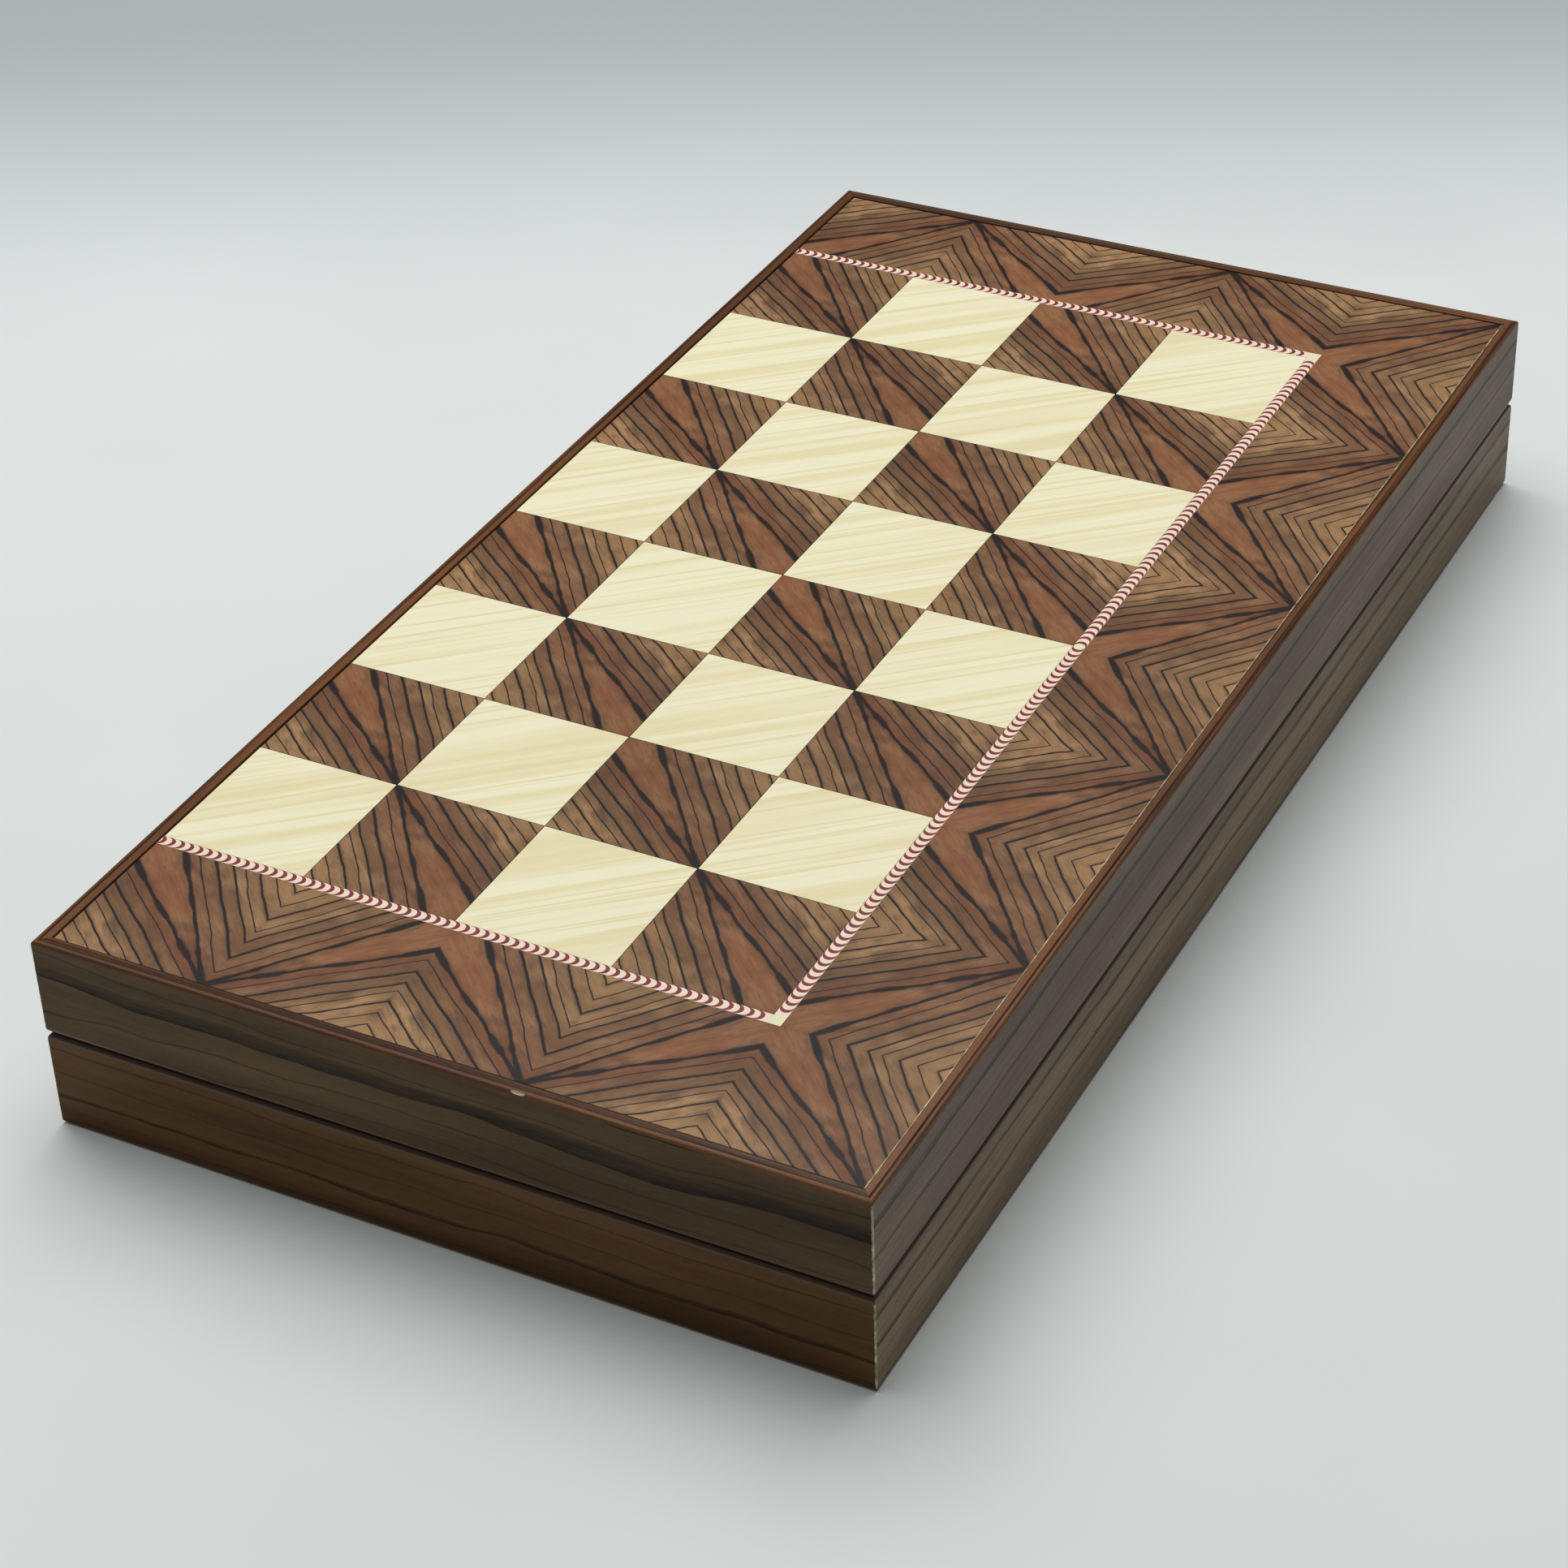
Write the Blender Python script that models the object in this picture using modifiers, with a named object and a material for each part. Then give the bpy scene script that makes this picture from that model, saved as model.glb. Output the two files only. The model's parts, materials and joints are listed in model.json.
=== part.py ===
"""A folding wooden backgammon set, shut: two mitred trays face to face on two brass butt hinges.

Each tray is four rails round a board panel. The outer faces of the panels make a chessboard, and the
playing field is on their inner faces. Thirty checkers and two dice lie in the lower tray.

Metres, +Z up. X runs along the hinge line, and -Y is the side that opens. The world origin is under the
middle of the whole box, on the surface it lies on. Everything in a tray is modelled in that tray's own
frame: its origin is the middle of the hinge axis, -Y points to the front and +Z points out of the tray's
rim. The upper tray is the same frame turned half a turn about Y.
"""

import math

import bmesh
import bpy
from mathutils import Matrix, Vector

# The box
BOX_LENGTH = 0.480
BOX_WIDTH = 0.244
BOX_HEIGHT = 0.061
GAP = 0.0003  # air between two neighbouring pieces

# Rails and panel
RAIL_THICKNESS = 0.009
LIP_WIDTH = 0.004  # the part of a rail that shows round the panel
LIP_HEIGHT = 0.0005  # how far that lip stands above the panel
PANEL_THICKNESS = 0.004
OUTER_ROUND = 0.0010  # radius of the long outer edge beside the panel
RIM_ROUND = 0.0016  # radius of the rim's outer edge
RIM_INNER_ROUND = 0.0006
ROUND_STEPS = 4

# Butt hinges
HINGE_X = 0.150  # from the middle of the box to the middle of a hinge
HINGE_LENGTH = 0.030
KNUCKLES = 5
KNUCKLE_RADIUS = 0.0020
PIN_RADIUS = 0.0009
PIN_CLEARANCE = 0.00035  # air round the pin and round the other leaf's knuckles
LEAF_WIDTH = 0.0078  # from the pin's axis to the leaf's free edge
LEAF_THICKNESS = 0.0010
LEAF_OVERLAP = 0.0001  # the plate stops this far short of the bore
SET_BACK = GAP / 3  # how far screw heads and magnets sit below the rim
SCREW_SPACING = 0.018
SCREW_LENGTH = 0.0080
SCREW_HEAD_RADIUS = 0.0018
SCREW_HEAD_DEPTH = 0.0008
SCREW_SHANK_RADIUS = 0.0009
SCREW_TIP = 0.0015

# Magnets in the front rims
MAGNET_X = 0.090
MAGNET_RADIUS = 0.0025
MAGNET_DEPTH = 0.0030
POCKET_RADIUS = 0.00286

# Loose pieces
CHECKER_RADIUS = 0.0170
CHECKER_HEIGHT = 0.0085
CHECKER_EDGE = 0.0012
CHECKER_CLEARANCE = 0.0009  # from the first checker to the end rail
CHECKER_STEP = 0.0350  # from one checker to the next along a point
CHECKERS_ON_A_POINT = 3
POINTS_USED = 5
POINTS_ACROSS = 6
DIE_SIDE = 0.0120
DIE_ROUND = 0.0012
DIE_PLACES = ((-0.014, 0.012, 25.0), (0.013, -0.009, -38.0))  # x, y from the tray's middle, turn in degrees

# Worked out from the above
PIN_OUT = GAP  # the pin's axis lies this far behind the hinge rails
REACH_OUT = PIN_OUT + KNUCKLE_RADIUS  # how far the knuckles stand out behind
HINGE_Y = (BOX_WIDTH - REACH_OUT) / 2 + PIN_OUT
TRAY_MIDDLE_Y = -(PIN_OUT + BOX_WIDTH / 2)
TRAY_HEIGHT = (BOX_HEIGHT - GAP) / 2
RIM_Z = -GAP / 2
OUTER_Z = -BOX_HEIGHT / 2
SHOULDER = LIP_HEIGHT + PANEL_THICKNESS + GAP
FLOOR_Z = OUTER_Z + LIP_HEIGHT + PANEL_THICKNESS
BORE_RADIUS = PIN_RADIUS + PIN_CLEARANCE
CLEAR_RADIUS = KNUCKLE_RADIUS + PIN_CLEARANCE
SCREW_Y = -(LEAF_WIDTH + KNUCKLE_RADIUS) / 2
MAGNET_Y = TRAY_MIDDLE_Y - BOX_WIDTH / 2 + RAIL_THICKNESS / 2 + GAP
KNUCKLE_PITCH = HINGE_LENGTH / KNUCKLES
ROUND_SEGMENTS = 16
CHECKER_SEGMENTS = 20
PAST = 0.002  # how far a cutter runs past the surface it opens
MERGE = 0.00001  # points closer than this are one point

COLOURS = {
    "walnut": ((0.115, 0.062, 0.034), 0.35, 0.0),
    "board": ((0.235, 0.130, 0.070), 0.30, 0.0),
    "brass": ((0.720, 0.500, 0.210), 0.30, 1.0),
    "magnet": ((0.600, 0.600, 0.620), 0.25, 1.0),
    "light_wood": ((0.800, 0.680, 0.460), 0.40, 0.0),
    "dark_wood": ((0.110, 0.045, 0.025), 0.40, 0.0),
    "bone": ((0.860, 0.830, 0.740), 0.30, 0.0),
}


def clear_scene():
    for obj in list(bpy.data.objects):
        bpy.data.objects.remove(obj, do_unlink=True)


def make_collection(name, shown):
    collection = bpy.data.collections.new(name)
    bpy.context.scene.collection.children.link(collection)
    collection.hide_render = not shown
    return collection


def make_material(name):
    colour, roughness, metallic = COLOURS[name]
    material = bpy.data.materials.new(name)
    material.use_nodes = True
    shader = material.node_tree.nodes["Principled BSDF"]
    shader.inputs["Base Color"].default_value = (*colour, 1.0)
    shader.inputs["Roughness"].default_value = roughness
    shader.inputs["Metallic"].default_value = metallic
    material.diffuse_color = (*colour, 1.0)
    return material


def add_piece(name, mesh, tray, material, place=None):
    """A part of the set: one node, in the tray's frame."""
    piece = bpy.data.objects.new(name, mesh)
    PARTS.objects.link(piece)
    piece.parent = tray
    piece.matrix_local = place or Matrix()
    if not mesh.materials:
        mesh.materials.append(MATERIALS[material])
    return piece


def add_helper(name, mesh, tray):
    """A cutter, or a shape that is joined to a part."""
    helper = bpy.data.objects.new(name, mesh)
    CUTTERS.objects.link(helper)
    helper.parent = tray
    helper.hide_render = True
    helper.display_type = "WIRE"
    return helper


def add_boolean(piece, helper, operation="DIFFERENCE"):
    modifier = piece.modifiers.new(helper.name, "BOOLEAN")
    modifier.operation = operation
    modifier.solver = "EXACT"
    modifier.object = helper


def mesh_from(bm, name):
    mesh = bpy.data.meshes.new(name)
    bm.to_mesh(mesh)
    bm.free()
    return mesh


def box_mesh(name, low, high):
    low, high = Vector(low), Vector(high)
    bm = bmesh.new()
    place = Matrix.Translation((low + high) / 2) @ Matrix.Diagonal((*(high - low), 1.0))
    bmesh.ops.create_cube(bm, size=1.0, matrix=place)
    return mesh_from(bm, name)


def rod_mesh(name, radius, low, high, axis, segments=ROUND_SEGMENTS):
    """A cylinder from low to high, which both lie on its axis."""
    low, high = Vector(low), Vector(high)
    turn = Matrix.Rotation(math.pi / 2, 4, "Y") if axis == "X" else Matrix()
    bm = bmesh.new()
    bmesh.ops.create_cone(
        bm,
        cap_ends=True,
        segments=segments,
        radius1=radius,
        radius2=radius,
        depth=(high - low).length,
        matrix=Matrix.Translation((low + high) / 2) @ turn,
    )
    return mesh_from(bm, name)


def profile_mesh(name, points):
    """The open half outline of a turned piece, as (radius, height), down its outer side."""
    bm = bmesh.new()
    verts = [bm.verts.new((radius, 0.0, height)) for radius, height in points]
    for first, second in zip(verts, verts[1:]):
        bm.edges.new((first, second))
    return mesh_from(bm, name)


def turn_profile(piece, segments):
    screw = piece.modifiers.new("turned", "SCREW")
    screw.axis = "Z"
    screw.steps = segments
    screw.render_steps = segments
    screw.use_merge_vertices = True
    screw.merge_threshold = MERGE


def arc(centre_u, centre_w, radius, start, end):
    """Points of a rounded corner, as (u, w), from one angle to another in degrees."""
    points = []
    for step in range(ROUND_STEPS + 1):
        angle = math.radians(start + (end - start) * step / ROUND_STEPS)
        points.append((centre_u + radius * math.cos(angle), centre_w + radius * math.sin(angle)))
    return points


def rail_outline():
    """A rail's section: u runs inwards from its outer face, and w from the lip to the rim."""
    outline = arc(OUTER_ROUND, OUTER_ROUND, OUTER_ROUND, 180, 270)
    outline += [(LIP_WIDTH, 0.0), (LIP_WIDTH, SHOULDER), (RAIL_THICKNESS, SHOULDER)]
    inner_u = RAIL_THICKNESS - RIM_INNER_ROUND
    outline += arc(inner_u, TRAY_HEIGHT - RIM_INNER_ROUND, RIM_INNER_ROUND, 0, 90)
    outline += arc(RIM_ROUND, TRAY_HEIGHT - RIM_ROUND, RIM_ROUND, 90, 180)
    return outline


def extruded_mesh(name, outline, length):
    """A flat curve given a length, made a mesh and welded. Its length then runs along X."""
    curve = bpy.data.curves.new(name, "CURVE")
    curve.dimensions = "2D"
    curve.fill_mode = "BOTH"
    curve.extrude = length / 2
    spline = curve.splines.new("POLY")
    spline.points.add(len(outline) - 1)
    for point, (u, w) in zip(spline.points, outline):
        point.co = (u, w, 0.0, 1.0)
    spline.use_cyclic_u = True
    holder = bpy.data.objects.new(name + "_outline", curve)
    PARTS.objects.link(holder)
    bpy.context.view_layer.update()
    evaluated = holder.evaluated_get(bpy.context.evaluated_depsgraph_get())
    mesh = bpy.data.meshes.new_from_object(evaluated)
    bpy.data.objects.remove(holder, do_unlink=True)
    bm = bmesh.new()
    bm.from_mesh(mesh)
    bmesh.ops.remove_doubles(bm, verts=bm.verts, dist=MERGE)
    lay_along_x = Matrix(((0, 0, 1, 0), (1, 0, 0, 0), (0, 1, 0, 0), (0, 0, 0, 1)))
    bmesh.ops.transform(bm, matrix=lay_along_x, verts=bm.verts)
    bm.to_mesh(mesh)
    bm.free()
    return mesh


def cut_mitres(mesh, length):
    """Cuts both ends at 45 degrees, half a gap back from the corner's diagonal."""
    back = GAP / math.sqrt(2)
    bm = bmesh.new()
    bm.from_mesh(mesh)
    for side in (-1, 1):
        cut = bmesh.ops.bisect_plane(
            bm,
            geom=bm.verts[:] + bm.edges[:] + bm.faces[:],
            dist=MERGE,
            plane_co=(side * (length / 2 - back), 0.0, 0.0),
            plane_no=(side, 1.0, 0.0),
            clear_outer=True,
        )
        rim = [item for item in cut["geom_cut"] if isinstance(item, bmesh.types.BMEdge)]
        bmesh.ops.edgeloop_fill(bm, edges=rim)
    bmesh.ops.recalc_face_normals(bm, faces=bm.faces)
    bm.to_mesh(mesh)
    bm.free()


def rail_mesh(name, length):
    mesh = extruded_mesh(name, rail_outline(), length + 2 * PAST)
    cut_mitres(mesh, length)
    return mesh


def rail_place(turn_degrees, half_depth):
    """Turns a rail about the tray's middle and moves it out to its side of the tray."""
    middle = Matrix.Translation((0.0, TRAY_MIDDLE_Y, OUTER_Z))
    turn = Matrix.Rotation(math.radians(turn_degrees), 4, "Z")
    return middle @ turn @ Matrix.Translation((0.0, -half_depth, 0.0))


def add_rails(name, tray):
    rails = {}
    sides = (
        ("front_rail", 0, BOX_LENGTH, BOX_WIDTH),
        ("right_rail", 90, BOX_WIDTH, BOX_LENGTH),
        ("hinge_rail", 180, BOX_LENGTH, BOX_WIDTH),
        ("left_rail", 270, BOX_WIDTH, BOX_LENGTH),
    )
    for side, turn, length, depth in sides:
        mesh = rail_mesh(f"{name}_{side}", length)
        place = rail_place(turn, depth / 2)
        rails[side] = add_piece(f"{name}_{side}", mesh, tray, "walnut", place)
    return rails


def add_panel(name, tray):
    half_x = BOX_LENGTH / 2 - LIP_WIDTH - GAP
    half_y = BOX_WIDTH / 2 - LIP_WIDTH - GAP
    low = (-half_x, TRAY_MIDDLE_Y - half_y, OUTER_Z + LIP_HEIGHT)
    high = (half_x, TRAY_MIDDLE_Y + half_y, FLOOR_Z)
    add_piece(f"{name}_board_panel", box_mesh(f"{name}_board_panel", low, high), tray, "board")


def knuckle_span(x, index):
    """The ends along X of one fifth of the hinge's barrel."""
    start = x - HINGE_LENGTH / 2 + index * KNUCKLE_PITCH
    return start, start + KNUCKLE_PITCH


def add_leaf(name, tray, x, own):
    """A leaf: a plate let into the rim, its own knuckles, and room for the other leaf's knuckles."""
    low = (x - HINGE_LENGTH / 2, -LEAF_WIDTH, RIM_Z - LEAF_THICKNESS)
    high = (x + HINGE_LENGTH / 2, -(BORE_RADIUS + LEAF_OVERLAP), RIM_Z)
    leaf = add_piece(name, box_mesh(name, low, high), tray, "brass")
    for index in range(KNUCKLES):
        start, end = knuckle_span(x, index)
        label = f"{name}_knuckle_{index + 1}"
        if index in own:
            rod = rod_mesh(label, KNUCKLE_RADIUS, (start + GAP, 0, 0), (end - GAP, 0, 0), "X")
            add_boolean(leaf, add_helper(label, rod, tray), "UNION")
        else:
            start -= PAST if index == 0 else 0.0
            end += PAST if index == KNUCKLES - 1 else 0.0
            rod = rod_mesh(label, CLEAR_RADIUS, (start, 0, 0), (end, 0, 0), "X")
            add_boolean(leaf, add_helper(label, rod, tray))
    half = HINGE_LENGTH / 2 + PAST
    bore = rod_mesh(name + "_bore", BORE_RADIUS, (x - half, 0, 0), (x + half, 0, 0), "X")
    add_boolean(leaf, add_helper(name + "_bore", bore, tray))
    for number, screw_x in enumerate(screw_places(x), 1):
        hole = countersink_mesh(f"{name}_hole_{number}", screw_x)
        add_boolean(leaf, add_helper(f"{name}_hole_{number}", hole, tray))


def screw_places(x):
    return (x - SCREW_SPACING / 2, x + SCREW_SPACING / 2)


def countersink_mesh(name, x):
    """A leaf's screw hole: a cone for the head above a round hole."""
    head_top = SCREW_HEAD_RADIUS + 2 * GAP
    shank = SCREW_SHANK_RADIUS + GAP
    bm = bmesh.new()
    bmesh.ops.create_cone(
        bm,
        cap_ends=True,
        segments=ROUND_SEGMENTS,
        radius1=shank,
        radius2=shank,
        depth=2 * PAST,
        matrix=Matrix.Translation((x, SCREW_Y, RIM_Z - LEAF_THICKNESS)),
    )
    top = [face for face in bm.faces if face.normal.z > 0.9]
    bmesh.ops.translate(bm, verts=top[0].verts[:], vec=(0, 0, LEAF_THICKNESS - SCREW_HEAD_DEPTH - PAST))
    cone = bmesh.ops.extrude_face_region(bm, geom=top)
    ring = [item for item in cone["geom"] if isinstance(item, bmesh.types.BMVert)]
    bmesh.ops.delete(bm, geom=top, context="FACES_ONLY")
    bmesh.ops.translate(bm, verts=ring, vec=(0, 0, SCREW_HEAD_DEPTH))
    grow = head_top / shank
    centre = Vector((x, SCREW_Y, 0.0))
    bmesh.ops.scale(bm, verts=ring, vec=(grow, grow, 1.0), space=Matrix.Translation(-centre))
    rim = [face for face in bm.faces if face.normal.z > 0.9]
    lift = bmesh.ops.extrude_face_region(bm, geom=rim)
    ring = [item for item in lift["geom"] if isinstance(item, bmesh.types.BMVert)]
    bmesh.ops.delete(bm, geom=rim, context="FACES_ONLY")
    bmesh.ops.translate(bm, verts=ring, vec=(0, 0, PAST))
    bmesh.ops.recalc_face_normals(bm, faces=bm.faces)
    return mesh_from(bm, name)


def cut_hinge_seat(rail, name, tray, x):
    """The rail's mortise for a leaf, the groove for the barrel and the two screw holes."""
    half = HINGE_LENGTH / 2 + GAP
    bottom = RIM_Z - LEAF_THICKNESS - GAP
    mortise = box_mesh(name + "_mortise", (x - half, -LEAF_WIDTH - GAP, bottom), (x + half, PAST, PAST))
    add_boolean(rail, add_helper(name + "_mortise", mortise, tray))
    groove = rod_mesh(name + "_groove", CLEAR_RADIUS, (x - half, 0, 0), (x + half, 0, 0), "X")
    add_boolean(rail, add_helper(name + "_groove", groove, tray))
    for number, screw_x in enumerate(screw_places(x), 1):
        label = f"{name}_screw_hole_{number}"
        deep = (screw_x, SCREW_Y, RIM_Z - SCREW_LENGTH - 2 * GAP)
        hole = rod_mesh(label, SCREW_SHANK_RADIUS + GAP, deep, (screw_x, SCREW_Y, 0.0), "Z")
        add_boolean(rail, add_helper(label, hole, tray))


def screw_profile():
    top = -SET_BACK
    return (
        (0.0, top),
        (SCREW_HEAD_RADIUS, top),
        (SCREW_SHANK_RADIUS, top - SCREW_HEAD_DEPTH),
        (SCREW_SHANK_RADIUS, SCREW_TIP - SCREW_LENGTH),
        (0.0, -SCREW_LENGTH),
    )


def add_screws(name, tray, x):
    for number, screw_x in enumerate(screw_places(x), 1):
        place = Matrix.Translation((screw_x, SCREW_Y, RIM_Z))
        label = f"{name}_screw_{number}"
        screw = add_piece(label, profile_mesh(label, screw_profile()), tray, "brass", place)
        turn_profile(screw, ROUND_SEGMENTS)


def add_magnets(name, tray, rail):
    for side, x in (("left", -MAGNET_X), ("right", MAGNET_X)):
        low = (x, MAGNET_Y, RIM_Z - MAGNET_DEPTH)
        label = f"{name}_magnet_{side}"
        magnet = rod_mesh(label, MAGNET_RADIUS, low, (x, MAGNET_Y, RIM_Z - SET_BACK), "Z")
        add_piece(label, magnet, tray, "magnet")
        deep = (x, MAGNET_Y, low[2] - GAP)
        pocket = rod_mesh(label + "_pocket", POCKET_RADIUS, deep, (x, MAGNET_Y, PAST), "Z")
        add_boolean(rail, add_helper(label + "_pocket", pocket, tray))


def add_tray(name, tray, own_knuckles):
    rails = add_rails(name, tray)
    add_panel(name, tray)
    add_magnets(name, tray, rails["front_rail"])
    for side, x in (("left", -HINGE_X), ("right", HINGE_X)):
        cut_hinge_seat(rails["hinge_rail"], f"{name}_{side}", tray, x)
        add_leaf(f"hinge_{side}_{name}_leaf", tray, x, own_knuckles)
        add_screws(f"hinge_{side}_{name}", tray, x)


def add_pins(tray):
    for side, x in (("left", -HINGE_X), ("right", HINGE_X)):
        half = HINGE_LENGTH / 2
        pin = rod_mesh(f"hinge_{side}_pin", PIN_RADIUS, (x - half, 0, 0), (x + half, 0, 0), "X")
        add_piece(f"hinge_{side}_pin", pin, tray, "brass")


def checker_profile():
    side = CHECKER_RADIUS
    return (
        (0.0, CHECKER_HEIGHT),
        (side - CHECKER_EDGE, CHECKER_HEIGHT),
        (side, CHECKER_HEIGHT - CHECKER_EDGE),
        (side, CHECKER_EDGE),
        (side - CHECKER_EDGE, 0.0),
        (0.0, 0.0),
    )


def add_checkers(name, tray, material, end, first_point):
    """Fifteen checkers stored at one end of the tray, three to a point. end is -1 or 1."""
    mesh = profile_mesh(name, checker_profile())
    point_width = (BOX_WIDTH - 2 * RAIL_THICKNESS) / POINTS_ACROSS
    first_x = BOX_LENGTH / 2 - RAIL_THICKNESS - CHECKER_RADIUS - CHECKER_CLEARANCE
    for number in range(POINTS_USED * CHECKERS_ON_A_POINT):
        point, row = divmod(number, CHECKERS_ON_A_POINT)
        x = end * (first_x - row * CHECKER_STEP)
        y = TRAY_MIDDLE_Y + (first_point + point - (POINTS_ACROSS - 1) / 2) * point_width
        place = Matrix.Translation((x, y, FLOOR_Z + GAP))
        checker = add_piece(f"{name}_{number + 1:02d}", mesh, tray, material, place)
        turn_profile(checker, CHECKER_SEGMENTS)


def add_dice(tray):
    half = DIE_SIDE / 2
    mesh = box_mesh("die", (-half, -half, 0.0), (half, half, DIE_SIDE))
    for number, (x, y, turn) in enumerate(DIE_PLACES, 1):
        place = Matrix.Translation((x, TRAY_MIDDLE_Y + y, FLOOR_Z + GAP))
        place = place @ Matrix.Rotation(math.radians(turn), 4, "Z")
        die = add_piece(f"die_{number}", mesh, tray, "bone", place)
        bevel = die.modifiers.new("rounded", "BEVEL")
        bevel.width = DIE_ROUND
        bevel.segments = 2


def add_tray_frame(name, upper):
    """The empty that a tray's pieces hang from, on the hinge axis."""
    tray = bpy.data.objects.new(name, None)
    PARTS.objects.link(tray)
    tray.empty_display_size = 0.02
    tray.location = (0.0, HINGE_Y, BOX_HEIGHT / 2)
    tray.rotation_euler = (0.0, math.pi if upper else 0.0, 0.0)
    return tray


def smooth_round_pieces():
    for piece in PARTS.objects:
        if piece.type == "MESH":
            piece.data.shade_smooth()
            piece.data.set_sharp_from_angle(angle=math.radians(35))


clear_scene()
PARTS = make_collection("backgammon_set", True)
CUTTERS = make_collection("cutters", False)
MATERIALS = {name: make_material(name) for name in COLOURS}

LOWER = add_tray_frame("lower_tray", False)
UPPER = add_tray_frame("upper_tray", True)
add_tray("lower", LOWER, (0, 2, 4))
add_tray("upper", UPPER, (1, 3))
add_pins(LOWER)
add_checkers("light_checker", LOWER, "light_wood", -1, 0)
add_checkers("dark_checker", LOWER, "dark_wood", 1, 1)
add_dice(LOWER)
smooth_round_pieces()
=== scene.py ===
import json
import math

import bmesh
import bpy
from mathutils import Matrix, Vector


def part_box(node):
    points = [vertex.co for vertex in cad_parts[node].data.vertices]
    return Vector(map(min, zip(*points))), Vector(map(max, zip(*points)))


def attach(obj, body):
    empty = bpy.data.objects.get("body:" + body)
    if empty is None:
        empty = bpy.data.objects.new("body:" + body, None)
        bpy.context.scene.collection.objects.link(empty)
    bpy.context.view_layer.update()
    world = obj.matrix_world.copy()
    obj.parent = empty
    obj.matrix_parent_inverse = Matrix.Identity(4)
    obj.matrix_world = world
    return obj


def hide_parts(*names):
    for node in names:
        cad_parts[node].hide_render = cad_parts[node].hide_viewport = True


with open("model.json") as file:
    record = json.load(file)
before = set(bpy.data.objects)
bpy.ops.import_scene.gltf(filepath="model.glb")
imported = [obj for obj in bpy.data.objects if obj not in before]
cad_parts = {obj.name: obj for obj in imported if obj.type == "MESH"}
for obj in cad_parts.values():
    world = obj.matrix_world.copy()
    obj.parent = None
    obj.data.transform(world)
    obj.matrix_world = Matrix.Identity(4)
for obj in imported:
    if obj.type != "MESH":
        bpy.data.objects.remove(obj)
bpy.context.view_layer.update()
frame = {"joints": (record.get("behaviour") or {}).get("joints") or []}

# ---------------------------------------------------------------------------------------------
# Rails
# Each tray is a frame of four walnut rails, mitred and glued at the corners. Their broad faces
# carry a dark long-grain foil, while the lips and the rounded edges show the bare, lacquered wood.
# The long rails' foil is painted greyer and lighter than the end rails', as a painted reflection,
# and the rims are painted darker, as painted shade in the seam between the trays.
# ---------------------------------------------------------------------------------------------
front_low, front_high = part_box("lower_front_rail")
back_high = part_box("lower_hinge_rail")[1]
box_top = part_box("upper_front_rail")[1].z
hinge_line = Vector(frame["joints"][0]["pos_m"])

rail_thickness = front_high.y - front_low.y
rail_height = front_high.z
middle_y = (front_low.y + back_high.y) / 2
half_length = front_high.x + 0.0002
half_width = (back_high.y - front_low.y) / 2
lip_width = 0.0040
shoulder_depth = 0.0048
bead_groove = (0.0013, 0.0016, 0.0019)
bead_groove_depth = 0.00022
outer_round = 0.0009
lip_round = 0.0004
rim_round = 0.0016
inner_rim_round = 0.0006
sharp_angle = math.radians(32.0)

# A piece is modelled lying in its tray with its outer face down: the origin is the middle of that
# face, +Z runs from it towards the rim, and -Y is the side that opens.
tray_body = {"lower": "lower_tray", "upper": "upper_tray"}
tray_place = {
    "lower": Matrix.Translation((0.0, middle_y, 0.0)),
    "upper": Matrix.Translation((0.0, middle_y, box_top)) @ Matrix.Rotation(math.pi, 4, "Y"),
}


def paint(red, green, blue):
    """A colour given on the 0 to 255 scale, as the shader's linear values."""
    linear = []
    for part in (red, green, blue):
        part /= 255
        linear.append(part / 12.92 if part <= 0.04045 else ((part + 0.055) / 1.055) ** 2.4)
    return (*linear, 1.0)


def put(tree, kind, inputs=(), **settings):
    """Adds a node. inputs gives, by name or number, a value or the socket that feeds it."""
    node = tree.nodes.new("ShaderNode" + kind)
    for name, value in settings.items():
        setattr(node, name, value)
    for name, value in dict(inputs).items():
        if isinstance(value, bpy.types.NodeSocket):
            tree.links.new(value, node.inputs[name])
        else:
            node.inputs[name].default_value = value
    return node.outputs[0]


def calc(tree, operation, *values, clamp=False):
    return put(tree, "Math", enumerate(values), operation=operation, use_clamp=clamp)


def fade(tree, value, start, end, low=0.0, high=1.0):
    """A smooth change from low to high as value goes from start to end."""
    inputs = {0: value, 1: start, 2: end, 3: low, 4: high}
    return put(tree, "MapRange", inputs, interpolation_type="SMOOTHSTEP")


def tint(tree, factor, under, over, blend_type="MIX"):
    inputs = {0: factor, 6: under, 7: over}
    mix = put(tree, "Mix", inputs, data_type="RGBA", blend_type=blend_type)
    return mix.node.outputs[2]


def stretch(tree, vector, scale, turn=0.0):
    inputs = {"Vector": vector, "Rotation": (0.0, 0.0, turn), "Scale": scale}
    return put(tree, "Mapping", inputs)


def cloud(tree, vector, scale=1.0, detail=2.0, roughness=0.5):
    inputs = {"Vector": vector, "Scale": scale, "Detail": detail, "Roughness": roughness}
    return put(tree, "TexNoise", inputs)


def ramp(tree, value, stops):
    node = put(tree, "ValToRGB", {0: value}).node
    elements = node.color_ramp.elements
    for _ in range(len(stops) - 2):
        elements.new(0.5)
    for element, (place, colour) in zip(elements, stops):
        element.position = place
        element.color = colour
    return node.outputs[0]


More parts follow.
